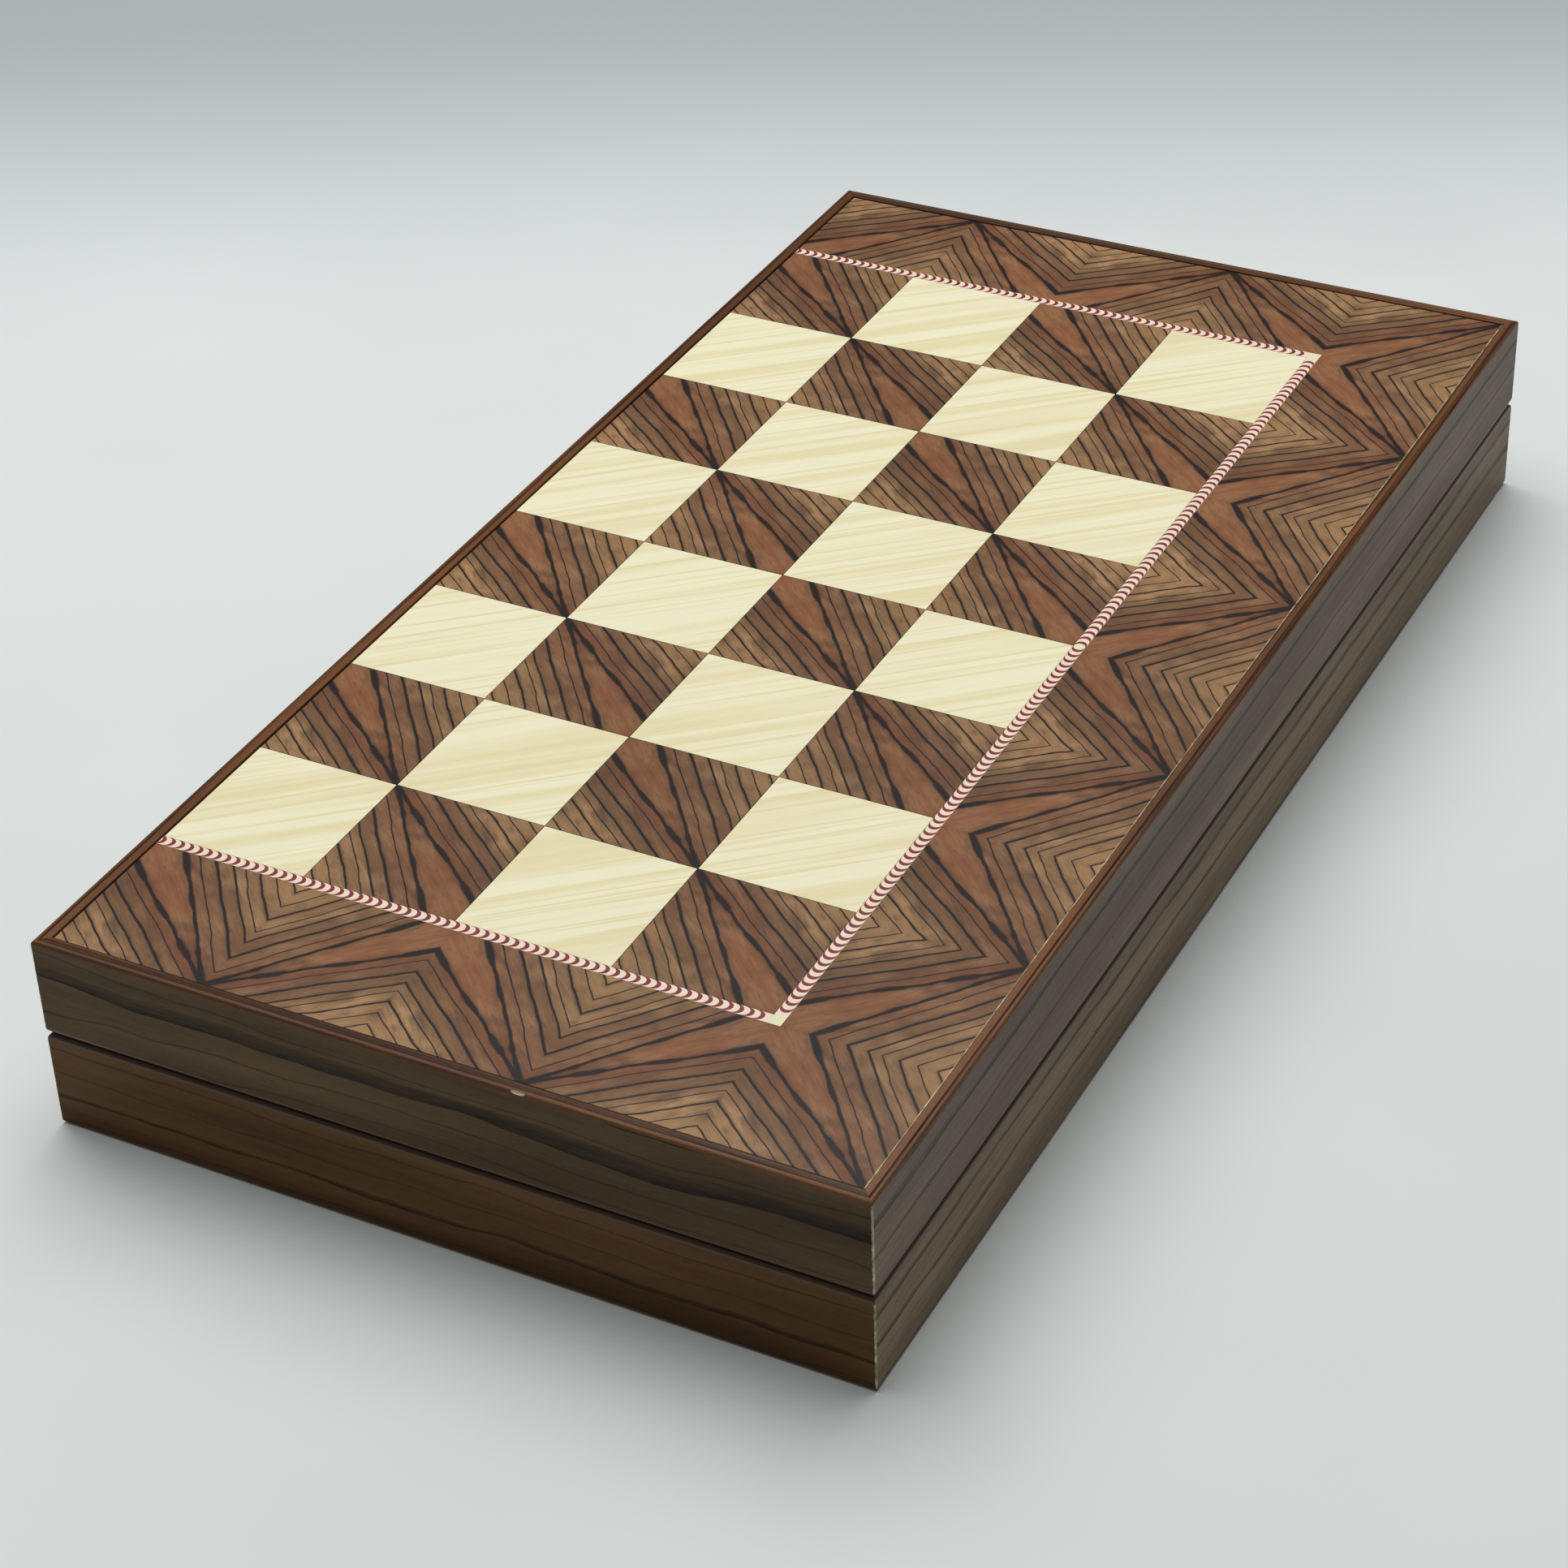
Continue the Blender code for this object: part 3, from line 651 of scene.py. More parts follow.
def make_walnut_figure():
    """The figure of one tile. X and Y run from 0 to 1 away from the corner where its veins meet."""
    gives = (("Color", "Color"), ("Vein", "Float"), ("Fibre", "Float"))
    tree, taken, given = new_group("walnut_figure", (("Vector", "Vector"),), gives)
    spot = taken["Vector"]
    parts = put(tree, "SeparateXYZ", {0: spot}).node.outputs
    u, v = parts["X"], parts["Y"]
    along = calc(tree, "MULTIPLY", calc(tree, "ADD", u, v), 0.7071)
    across = calc(tree, "MULTIPLY", calc(tree, "SUBTRACT", v, u), 0.7071)
    sway = calc(tree, "MULTIPLY", calc(tree, "SUBTRACT", cloud(tree, spot, 2.6, 2.0), 0.5), 0.07)
    shiver = calc(tree, "MULTIPLY", calc(tree, "SUBTRACT", cloud(tree, spot, 11.0, 2.0), 0.5), 0.020)
    free = fade(tree, along, 0.05, 0.45)
    warp = calc(tree, "MULTIPLY", calc(tree, "ADD", sway, shiver), free)
    upper = calc(tree, "SUBTRACT", v, calc(tree, "MULTIPLY", u, vein_slope))
    lower = calc(tree, "SUBTRACT", u, calc(tree, "MULTIPLY", v, vein_slope))
    lower = calc(tree, "MULTIPLY", lower, 0.97)
    field = calc(tree, "ADD", calc(tree, "MAXIMUM", upper, lower), warp)
    swelling = fade(tree, cloud(tree, spot, 4.0, 1.0), 0.42, 0.66, 0.020, 0.046)
    swelling = calc(tree, "ADD", swelling, fade(tree, along, 0.0, 0.30, 0.022, 0.0))
    inputs = {"Field": field, "Level": 0.0, "Half Width": swelling, "Halo": 0.085}
    vein = place_group(tree, dark_vein, inputs)["Mask"]
    for level, half_breadth, halo in vein_levels:
        inputs = {"Field": field, "Level": level, "Half Width": half_breadth, "Halo": halo}
        mask = place_group(tree, dark_vein, inputs)["Mask"]
        vein = calc(tree, "MAXIMUM", vein, mask)
    place_on_ramp = calc(tree, "ADD", calc(tree, "MULTIPLY", field, 0.8), 0.2)
    colour = ramp(
        tree,
        place_on_ramp,
        (
            (0.02, paint(136, 85, 52)),
            (0.19, paint(126, 80, 50)),
            (0.30, paint(112, 73, 48)),
            (0.42, paint(118, 84, 56)),
            (0.58, paint(130, 98, 66)),
            (0.82, paint(150, 114, 76)),
            (1.00, paint(170, 132, 88)),
        ),
    )
    reddish = calc(tree, "MULTIPLY", fade(tree, along, 0.1, 0.7, 1.0, 0.0), 0.3)
    colour = tint(tree, reddish, colour, paint(116, 66, 38))
    grain = put(tree, "CombineXYZ", {0: along, 1: across, 2: parts["Z"]})
    patch = cloud(tree, stretch(tree, grain, (2.6, 6.5, 1.0)), 1.0, 3.0)
    patchy = calc(tree, "MULTIPLY", fade(tree, patch, 0.46, 0.72), fade(tree, field, 0.05, 0.55, 0.28, 0.6))
    colour = tint(tree, patchy, colour, paint(182, 140, 98))
    gloom = cloud(tree, stretch(tree, grain, (3.4, 8.0, 1.0)), 1.7, 3.0)
    colour = tint(tree, fade(tree, gloom, 0.48, 0.74, 0.0, 0.60), colour, paint(84, 62, 45))
    fleck = cloud(tree, stretch(tree, grain, (16.0, 80.0, 1.0)), 1.0, 2.0)
    colour = tint(tree, fade(tree, fleck, 0.58, 0.72, 0.0, 0.3), colour, paint(78, 48, 34))
    lay = put(tree, "VectorMath", {0: grain, 1: (square, square, square)}, operation="MULTIPLY")
    fibre = place_group(tree, wood_fibre, {"Vector": lay})
    grey = ramp(tree, fibre["Fibre"], ((0.30, (0.74, 0.74, 0.74, 1)), (0.70, (1.18, 1.18, 1.18, 1))))
    colour = tint(tree, 1.0, colour, grey, "MULTIPLY")
    vein_colour = tint(tree, cloud(tree, spot, 9.0, 2.0), paint(18, 10, 8), paint(38, 25, 21))
    colour = tint(tree, vein, colour, vein_colour)
    tree.links.new(colour, given["Color"])
    tree.links.new(vein, given["Vein"])
    tree.links.new(fibre["Fibre"], given["Fibre"])
    return tree


walnut_figure = make_walnut_figure()


def marquetry_walnut(name, pitch, corner_x, corner_y):
    """Walnut tiles of one pitch. The veins of four tiles meet at the corner, and at every second one."""
    material, tree, shader, spot = new_material(name)
    parts = put(tree, "SeparateXYZ", {0: spot}).node.outputs
    folded = []
    for axis, corner in (("X", corner_x), ("Y", corner_y)):
        steps = calc(tree, "DIVIDE", calc(tree, "SUBTRACT", parts[axis], corner), pitch)
        folded.append(calc(tree, "PINGPONG", steps, 1.0))
    tile = put(tree, "CombineXYZ", {0: folded[0], 1: folded[1], 2: 0.37})
    figure = place_group(tree, walnut_figure, {"Vector": tile})
    tone = fade(tree, cloud(tree, spot, 9.0, 2.0), 0.3, 0.7, 0.90, 1.10)
    tone = put(tree, "CombineColor", {0: tone, 1: tone, 2: tone})
    colour = tint(tree, 1.0, figure["Color"], tone, "MULTIPLY")
    tree.links.new(colour, shader.inputs["Base Color"])
    raised = calc(tree, "MULTIPLY", figure["Fibre"], 0.3)
    sunken = calc(tree, "MULTIPLY", figure["Vein"], 0.3)
    relief = calc(tree, "SUBTRACT", raised, sunken)
    coat_with_lacquer(tree, shader, spot, 0.38, relief, 0.05, 0.16)
    return material


border_corner = (-board_x - joint, middle_y + panel_edge_y - border_tile)
border_walnut = marquetry_walnut("border_walnut", border_tile, *border_corner)
square_corner = (square - grid_x + grid_shift["lower"], middle_y + first_row_y - square)
square_walnut = marquetry_walnut("square_walnut", square, *square_corner)


def lay_veneer(bm, x_low, x_high, y_low, y_high, edge=0.00002):
    """One tile of veneer on the panel's outer face, its upper edges very slightly rounded."""
    box_in(bm, (x_low, y_low, panel_outer), (x_high, y_high, panel_outer + veneer))
    outer = [e for e in bm.edges if all(v.co.z < panel_outer + 0.00001 for v in e.verts)]
    round_edges(bm, outer, edge, 2)


rope_x = grid_x + rope_width
rope_y = last_row_y - rope_width
for tray, shift in grid_shift.items():
    ends = ((-board_x, shift - rope_x), (shift + rope_x, board_x))
    for column, (x_low, x_high) in enumerate(ends, 1):
        for row in range(5):
            y_high = min(panel_edge_y - row * border_tile, board_y)
            y_low = max(panel_edge_y - (row + 1) * border_tile, -board_y)
            bm = bmesh.new()
            lay_veneer(bm, x_low, x_high, y_low, y_high)
            hand_over(bm, f"{tray}_border_end_{column}_{row + 1}", tray, [border_walnut])
    for step in range(8):
        x_low = shift - rope_x if step == 0 else (step - 4) * border_tile
        x_high = shift + rope_x if step == 7 else (step - 3) * border_tile
        bm = bmesh.new()
        lay_veneer(bm, x_low, x_high, -board_y, rope_y)
        hand_over(bm, f"{tray}_border_front_{step + 1}", tray, [border_walnut])


# ---------------------------------------------------------------------------------------------
# Chess squares
# Half a chessboard on each tray: sixteen walnut and sixteen ivory-toned squares, laid with hairline
# dark joints. The row beside the hinge disappears a little way under the rail's lip.
# ---------------------------------------------------------------------------------------------
def ivory_material(name, light, streak, turn):
    """Pale bleached veneer with soft, slanting, slightly yellower streaks."""
    material, tree, shader, spot = new_material(name)
    along = stretch(tree, spot, (1.0, 1.0, 1.0), turn)
    broad = cloud(tree, stretch(tree, along, (4.0, 110.0, 1.0)), 1.0, 2.0)
    narrow = cloud(tree, stretch(tree, along, (6.0, 460.0, 1.0)), 1.0, 2.0, 0.6)
    fibre = place_group(tree, wood_fibre, {"Vector": along})
    colour = tint(tree, fade(tree, broad, 0.45, 0.68, 0.0, 0.8), light, streak)
    colour = tint(tree, fade(tree, narrow, 0.50, 0.66, 0.0, 0.8), colour, streak)
    grey = ramp(tree, fibre["Fibre"], ((0.3, (0.955, 0.955, 0.945, 1)), (0.7, (1.02, 1.02, 1.02, 1))))
    colour = tint(tree, 1.0, colour, grey, "MULTIPLY")
    tree.links.new(colour, shader.inputs["Base Color"])
    coat_with_lacquer(tree, shader, spot, 0.38, calc(tree, "MULTIPLY", fibre["Fibre"], 0.25), 0.05, 0.16)
    return material


ivory = ivory_material("ivory_square", paint(243, 237, 203), paint(231, 218, 170), math.radians(50))

for tray, shift in grid_shift.items():
    for column in range(8):
        for row in range(4):
            x_low = -grid_x + column * square
            x_low = shift + (x_low if tray == "lower" else -x_low - square)
            y_high = min(first_row_y - row * square, board_y)
            y_low = first_row_y - (row + 1) * square
            light = (column + row) % 2 == (0 if tray == "upper" else 1)
            bm = bmesh.new()
            lay_veneer(bm, x_low + seam, x_low + square - seam, y_low + seam, y_high - seam)
            name = f"{tray}_{'light' if light else 'dark'}_square_{column + 1}_{row + 1}"
            hand_over(bm, name, tray, [ivory if light else square_walnut])


# ---------------------------------------------------------------------------------------------
# Rope banding
# A cream strip inlaid with overlapping dark red crescents frames the squares. It turns at a plain
# cream block on each front corner, and mirrors itself about a round dot in the middle of the front.
# ---------------------------------------------------------------------------------------------
crescent_pitch = 0.0030
crescent_body = 0.00125
crescent_reach = rope_width / 2 - 0.00005
crescent_steps = 8
inlay_proud = 0.00002
dot_radius = 0.00165


def rope_material(name, light, dark, gloss):
    material, tree, shader, spot = new_material(name)
    fibre = place_group(tree, wood_fibre, {"Vector": spot})
    tone = cloud(tree, spot, 260.0, 2.0)
    colour = tint(tree, calc(tree, "MULTIPLY", calc(tree, "ADD", tone, fibre["Fibre"]), 0.5), light, dark)
    tree.links.new(colour, shader.inputs["Base Color"])
    coat_with_lacquer(tree, shader, spot, gloss, None, 0.15, 0.30)
    return material


rope_cream = rope_material("rope_cream", paint(250, 232, 212), paint(236, 212, 186), 0.42)
rope_red = rope_material("rope_red", paint(142, 34, 42), paint(104, 20, 30), 0.40)
rope_block = rope_material("rope_corner_block", paint(238, 238, 200), paint(226, 224, 178), 0.42)


def add_crescent(bm, start, heading):
    """A crescent with its back to the heading. Its middle starts at start, and it leans back."""
    across = Vector((-heading.y, heading.x, 0.0))
    centre = start - heading * crescent_reach
    first_edge = len(bm.edges)
    tip = bm.verts.new(centre - across * crescent_reach)
    around = {"cent": centre, "axis": (0.0, 0.0, 1.0), "angle": math.pi}
    bmesh.ops.spin(bm, geom=[tip], steps=crescent_steps, use_merge=False, **around)
    bm.edges.ensure_lookup_table()
    grown = bmesh.ops.extrude_edge_only(bm, edges=bm.edges[first_edge:])["geom"]
    moved = [item for item in grown if isinstance(item, bmesh.types.BMVert)]
    bmesh.ops.translate(bm, verts=moved, vec=heading * crescent_body)


def rope_run(tray, name, start, end, first_gap):
    """One straight strip of banding. Its crescents start at first_gap and head from start to end."""
    start, end = Vector((*start, 0.0)), Vector((*end, 0.0))
    heading = (end - start).normalized()
    length = (end - start).length
    across = Vector((-heading.y, heading.x, 0.0)) * (rope_width / 2)
    corners = [start - across, start + across, end - across, end + across]
    low = [min(corner[axis] for corner in corners) for axis in (0, 1)]
    high = [max(corner[axis] for corner in corners) for axis in (0, 1)]
    bm = bmesh.new()
    lay_veneer(bm, low[0], high[0], low[1], high[1], 0.00003)
    hand_over(bm, f"{tray}_rope_strip_{name}", tray, [rope_cream])
    bm = bmesh.new()
    count = int((length - first_gap) / crescent_pitch + 0.5)
    pitch = (length - first_gap) / count
    for step in range(count):
        add_crescent(bm, start + heading * (first_gap + step * pitch), heading)
    bmesh.ops.remove_doubles(bm, verts=bm.verts, dist=0.000001)
    bmesh.ops.recalc_face_normals(bm, faces=bm.faces)
    solid = bmesh.ops.extrude_face_region(bm, geom=bm.faces[:])["geom"]
    moved = [item for item in solid if isinstance(item, bmesh.types.BMVert)]
    bmesh.ops.translate(bm, verts=moved, vec=(0.0, 0.0, inlay_proud * 3))
    bmesh.ops.translate(bm, verts=bm.verts, vec=(0.0, 0.0, panel_outer - inlay_proud))
    bmesh.ops.recalc_face_normals(bm, faces=bm.faces)
    hand_over(bm, f"{tray}_rope_crescents_{name}", tray, [rope_red])


for tray, shift in grid_shift.items():
    rope_middle_x = grid_x + rope_width / 2
    rope_middle_y = last_row_y - rope_width / 2
    for side, x in (("left", shift - grid_x), ("right", shift + grid_x)):
        rope_run(tray, f"front_{side}", (shift, rope_middle_y), (x, rope_middle_y), dot_radius)
    for end, x in (("left", shift - rope_middle_x), ("right", shift + rope_middle_x)):
        rope_run(tray, end, (x, board_y), (x, last_row_y), 0.0005)
        bm = bmesh.new()
        lay_veneer(bm, x - rope_width / 2, x + rope_width / 2, rope_y, last_row_y, 0.00003)
        hand_over(bm, f"{tray}_rope_corner_{end}", tray, [rope_block])
    bm = bmesh.new()
    place = Matrix.Translation((shift, rope_middle_y, panel_outer + inlay_proud))
    dot = {"radius1": dot_radius, "radius2": dot_radius, "depth": inlay_proud * 6, "segments": 32}
    bmesh.ops.create_cone(bm, cap_ends=True, matrix=place, **dot)
    hand_over(bm, f"{tray}_rope_middle_dot", tray, [rope_block])


# ---------------------------------------------------------------------------------------------
# Playing field
# Inside, each tray's floor is walnut veneer with twelve long points let into it, six from each end,
# ivory and dark by turns. A thin cream line frames the field, and a star fills its middle.
# ---------------------------------------------------------------------------------------------
inside_x = half_length - rail_thickness
inside_y = half_width - rail_thickness
field_top = panel_inner - 0.00005
inlay_depth = 0.00002
points_across = 6
point_pitch = 2 * inside_y / points_across
point_half_base = 0.0168
point_base_x = inside_x - 0.0060
point_tip_x = 0.0620
tip_dot_x = 0.0565
tip_dot_radius = 0.0022
string_inset = 0.0030
string_width = 0.0009
star_arms = 8
star_radius = 0.030
star_half_width = 0.0046

field_colours = (paint(40, 25, 18), paint(106, 68, 43), paint(130, 88, 56))
dark_point_colours = (paint(18, 11, 9), paint(56, 31, 23), paint(78, 44, 31))
field_ground = long_grain("field_ground", 0.0, field_colours, 170.0, 4.0, 0.5, 23.0, 0.40)
dark_inlay = long_grain("dark_inlay", 0.0, dark_point_colours, 320.0, 2.0, 0.5, 29.0, 0.38)
ivory_inlay = ivory_material("ivory_inlay", paint(238, 230, 198), paint(226, 210, 164), 0.0)


def field_slab(bm, low, high):
    return box_in(bm, (*low, field_top - inlay_depth), (*high, panel_inner))


def add_point(bm, end, y):
    """One long point: a slab with its far end drawn in to a fine tip."""
    start = min(end * point_base_x, end * point_tip_x)
    stop = max(end * point_base_x, end * point_tip_x)
    verts = field_slab(bm, (start, y - point_half_base), (stop, y + point_half_base))
    for vert in verts:
        if abs(vert.co.x) < point_tip_x + 0.001:
            vert.co.y = y + (vert.co.y - y) * 0.012


def add_disc(bm, place, radius, low, high, segments=32):
    middle = Matrix.Translation((*place, (low + high) / 2))
    disc = {"radius1": radius, "radius2": radius, "depth": high - low, "segments": segments}
    return bmesh.ops.create_cone(bm, cap_ends=True, matrix=middle, **disc)["verts"]


def add_star_arm(bm, index):
    """A lozenge from the middle outwards."""
    turn = Matrix.Rotation(2 * math.pi * index / star_arms, 4, "Z")
    lengthen = Matrix.Diagonal((star_radius / 2 - 0.0004, star_half_width, 1.0, 1.0))
    middle = Matrix.Translation((star_radius / 2, 0.0, (field_top - inlay_depth + panel_inner) / 2))
    depth = panel_inner - field_top + inlay_depth
    lozenge = {"radius1": 1.0, "radius2": 1.0, "depth": depth, "segments": 4}
    bmesh.ops.create_cone(bm, cap_ends=True, matrix=turn @ middle @ lengthen, **lozenge)


def add_ring(bm, inner, outer, low, high, steps=72):
    """A flat ring about the middle of the tray."""
    corners = [(inner, low), (outer, low), (outer, high), (inner, high)]
    verts = [bm.verts.new((r, 0.0, z)) for r, z in corners]
    edges = [bm.edges.new((verts[i - 1], verts[i])) for i in range(4)]
    around = {"cent": (0.0, 0.0, 0.0), "axis": (0.0, 0.0, 1.0), "angle": 2 * math.pi}
    bmesh.ops.spin(bm, geom=verts + edges, steps=steps, use_merge=True, **around)


for tray in tray_body:
    bm = bmesh.new()
    reach_x, reach_y = inside_x - 0.0003, inside_y - 0.0003
    box_in(bm, (-reach_x, -reach_y, panel_inner - field_veneer), (reach_x, reach_y, field_top))
    hand_over(bm, f"{tray}_field_ground", tray, [field_ground])
    light_points, dark_points = bmesh.new(), bmesh.new()
    for end in (-1, 1):
        for index in range(points_across):
            light = (index % 2 == 0) == (end < 0)
            y = (index - (points_across - 1) / 2) * point_pitch
            add_point(light_points if light else dark_points, end, y)
            dot_place = (end * tip_dot_x, y)
            dots = dark_points if light else light_points
            add_disc(dots, dot_place, tip_dot_radius, field_top - inlay_depth, panel_inner)
    for index in range(star_arms):
        add_star_arm(light_points if index % 2 else dark_points, index)
    hand_over(light_points, f"{tray}_ivory_points", tray, [ivory_inlay])
    hand_over(dark_points, f"{tray}_dark_points", tray, [dark_inlay])
    lines = bmesh.new()
    line_x, line_y = inside_x - string_inset, inside_y - string_inset
    for side in (-1, 1):
        across = sorted((side * line_x, side * (line_x - string_width)))
        field_slab(lines, (across[0], -line_y), (across[1], line_y))
        across = sorted((side * line_y, side * (line_y - string_width)))
        field_slab(lines, (-line_x + string_width, across[0]), (line_x - string_width, across[1]))
    add_ring(lines, star_radius + 0.0024, star_radius + 0.0033, field_top - inlay_depth, panel_inner)
    bmesh.ops.recalc_face_normals(lines, faces=lines.faces)
    hand_over(lines, f"{tray}_cream_stringing", tray, [rope_cream])


# ---------------------------------------------------------------------------------------------
# Butt hinges
# Two small pressed brass hinges join the trays along the hidden long side. Their leaves are let
# into the rims, each held by two slotted countersunk screws, and the barrel stands out behind.
# ---------------------------------------------------------------------------------------------
leaf_low, leaf_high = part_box("hinge_right_lower_leaf")
screw_low, screw_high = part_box("hinge_right_lower_screw_1")
pin_low, pin_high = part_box("hinge_right_pin")
hinge_x = (leaf_low.x + leaf_high.x) / 2
half_leaf = (leaf_high.x - leaf_low.x) / 2
axis_y = hinge_line.y - middle_y
axis_z = hinge_line.z
leaf_edge_y = leaf_low.y - middle_y
leaf_depth = rail_height - leaf_low.z
knuckle_radius = leaf_high.y - hinge_line.y
knuckle_round = 0.00018
pin_radius = (pin_high.z - pin_low.z) / 2
pin_gap = 0.00035
leaf_gap = 0.0003
screw_y = (screw_low.y + screw_high.y) / 2 - middle_y
screw_offset = abs((screw_low.x + screw_high.x) / 2 - hinge_x)
screw_head = (screw_high.x - screw_low.x) / 2
screw_shank = 0.0009
screw_top = screw_high.z
screw_length = 0.0088
head_depth = 0.0009
knuckles = 5
own_knuckles = {"lower": (0, 2, 4), "upper": (1, 3)}


def brass_material():
    """Rolled brass: brown tarnish in patches, and fine scratches along its length."""
    material, tree, shader, spot = new_material("tarnished_brass")
    patch = cloud(tree, spot, 260.0, 4.0, 0.6)
    stops = ((0.30, paint(196, 160, 102)), (0.55, paint(178, 140, 82)), (0.80, paint(128, 92, 52)))
    colour = ramp(tree, patch, stops)
    scratch = cloud(tree, stretch(tree, spot, (400.0, 6000.0, 6000.0)), 1.0, 1.0)
    tree.links.new(colour, shader.inputs["Base Color"])
    shader.inputs["Metallic"].default_value = 1.0
    tarnish = fade(tree, patch, 0.4, 0.8, 0.24, 0.46)
    rough = calc(tree, "ADD", tarnish, fade(tree, scratch, 0.5, 0.8, 0.0, 0.10))
    tree.links.new(rough, shader.inputs["Roughness"])
    bump = put(tree, "Bump", {"Height": scratch, "Strength": 0.12, "Distance": 0.0001})
    tree.links.new(bump, shader.inputs["Normal"])
    return material


brass = brass_material()


def add_rod(bm, start_x, end_x, y, z, radius, segments=32):
    """A rod along X. Returns its vertices."""
    place = Matrix.Translation(((start_x + end_x) / 2, y, z)) @ Matrix.Rotation(quarter, 4, "Y")
    rod = {"radius1": radius, "radius2": radius, "depth": end_x - start_x, "segments": segments}
    return bmesh.ops.create_cone(bm, cap_ends=True, matrix=place, **rod)["verts"]


def knuckle_ends(x, index):
    pitch = 2 * half_leaf / knuckles
    return x - half_leaf + index * pitch, x - half_leaf + (index + 1) * pitch


def spin_profile(bm, profile, place, steps):
    """Turns an outline of (radius, height) points round a vertical axis into a closed solid."""
    verts = [bm.verts.new((place[0] + r, place[1], z)) for r, z in profile]
    edges = [bm.edges.new(pair) for pair in zip(verts, verts[1:])]
    around = {"cent": (*place, 0.0), "axis": (0.0, 0.0, 1.0), "angle": 2 * math.pi}
    bmesh.ops.spin(bm, geom=verts + edges, steps=steps, use_merge=True, **around)
    bmesh.ops.remove_doubles(bm, verts=bm.verts, dist=0.000001)
    bmesh.ops.recalc_face_normals(bm, faces=bm.faces)


def screw_sink(bm, x, grow):
    """The shape a countersunk screw takes up, from its shank to past its head."""
    profile = [
        (0.0, rail_height - screw_length - grow),
        (screw_shank + grow, rail_height - screw_length - grow),
        (screw_shank + grow, rail_height - head_depth),
        (screw_head + grow, rail_height),
        (screw_head + grow, rail_height + 0.001),
        (0.0, rail_height + 0.001),
    ]
    spin_profile(bm, profile, (x, screw_y), 24)


def leaf_plate(x):
    bm = bmesh.new()
    inner_y = axis_y - pin_radius - pin_gap - 0.0001
    low = (x - half_leaf, leaf_edge_y, rail_height - leaf_depth)
    box_in(bm, low, (x + half_leaf, inner_y, rail_height))
    corners = [e for e in bm.edges if all(abs(v.co.y - leaf_edge_y) < 0.00001 for v in e.verts)]
    upright = [e for e in corners if abs(e.verts[0].co.z - e.verts[1].co.z) > 0.0001]
    round_edges(bm, upright, 0.0012, 5)
    rim = [e for e in bm.edges if all(v.co.z > rail_height - 0.00001 for v in e.verts)]
    round_edges(bm, [e for e in rim if min(v.co.y for v in e.verts) < inner_y - 0.0001], 0.00012, 2)
    return bm


def knuckle(x, index):
    start, end = knuckle_ends(x, index)
    bm = bmesh.new()
    add_rod(bm, start + leaf_gap / 2, end - leaf_gap / 2, axis_y, axis_z, knuckle_radius)
    rims = [e for e in bm.edges if abs(e.verts[0].co.x - e.verts[1].co.x) < 0.00001]
    round_edges(bm, rims, knuckle_round, 3)
    return bm


def clearance(x, index):
    start, end = knuckle_ends(x, index)
    start -= 0.002 if index == 0 else leaf_gap / 2
    end += 0.002 if index == knuckles - 1 else leaf_gap / 2
    bm = bmesh.new()
    add_rod(bm, start, end, axis_y, axis_z, knuckle_radius + pin_gap)
    return bm


def make_leaf(tray, side, x):
    node = f"hinge_{side}_{tray}_leaf"
    piece = hand_over(leaf_plate(x), f"{node}_brass", tray, [brass], [node])
    own = own_knuckles[tray]
    carve(piece, [knuckle(x, index) for index in own], tray, "UNION")
    cutters = [clearance(x, index) for index in range(knuckles) if index not in own]
    bore = bmesh.new()
    add_rod(bore, x - half_leaf - 0.001, x + half_leaf + 0.001, axis_y, axis_z, pin_radius + pin_gap, 24)
    cutters.append(bore)
    for offset in (-screw_offset, screw_offset):
        sink = bmesh.new()
        screw_sink(sink, x + offset, 0.0001)
        cutters.append(sink)
    carve(piece, cutters, tray)


def make_screws(tray, side, x):
    for number, offset in enumerate((-screw_offset, screw_offset), 1):
        node = f"hinge_{side}_{tray}_screw_{number}"
        bm = bmesh.new()
        profile = [
            (0.0, screw_low.z),
            (screw_shank, screw_low.z + 0.0015),
            (screw_shank, screw_top - 0.00085),
            (screw_head, screw_top - 0.00012),
            (screw_head - 0.00015, screw_top),
            (0.0, screw_top),
        ]
        spin_profile(bm, profile, (x + offset, screw_y), 32)
        piece = hand_over(bm, f"{node}_brass", tray, [brass], [node])
        slot = bmesh.new()
        box_in(slot, (-0.003, -0.00024, screw_top - 0.0004), (0.003, 0.00024, screw_top + 0.001))
        turn = Matrix.Rotation(0.5 + 0.9 * number + 2.3 * x * 10, 4, "Z")
        place = Matrix.Translation((x + offset, screw_y, 0.0)) @ turn
        bmesh.ops.transform(slot, matrix=place, verts=slot.verts)
        carve(piece, [slot], tray)


def seat_cutters(x):
    """The mortise, the barrel groove and the screw holes of one leaf, for its rail."""
    mortise = bmesh.new()
    grown = half_leaf + leaf_gap
    box_in(
        mortise,
        (x - grown, leaf_edge_y - leaf_gap, rail_height - leaf_depth - leaf_gap),
        (x + grown, axis_y + 0.002, rail_height + 0.002),
    )
    groove = bmesh.new()
    add_rod(groove, x - grown, x + grown, axis_y, axis_z, knuckle_radius + pin_gap)
    holes = []
    for offset in (-screw_offset, screw_offset):
        hole = bmesh.new()
        add_disc(hole, (x + offset, screw_y), screw_shank + leaf_gap, rail_height - 0.0090, rail_height, 24)
        holes.append(hole)
    return [mortise, groove, *holes]


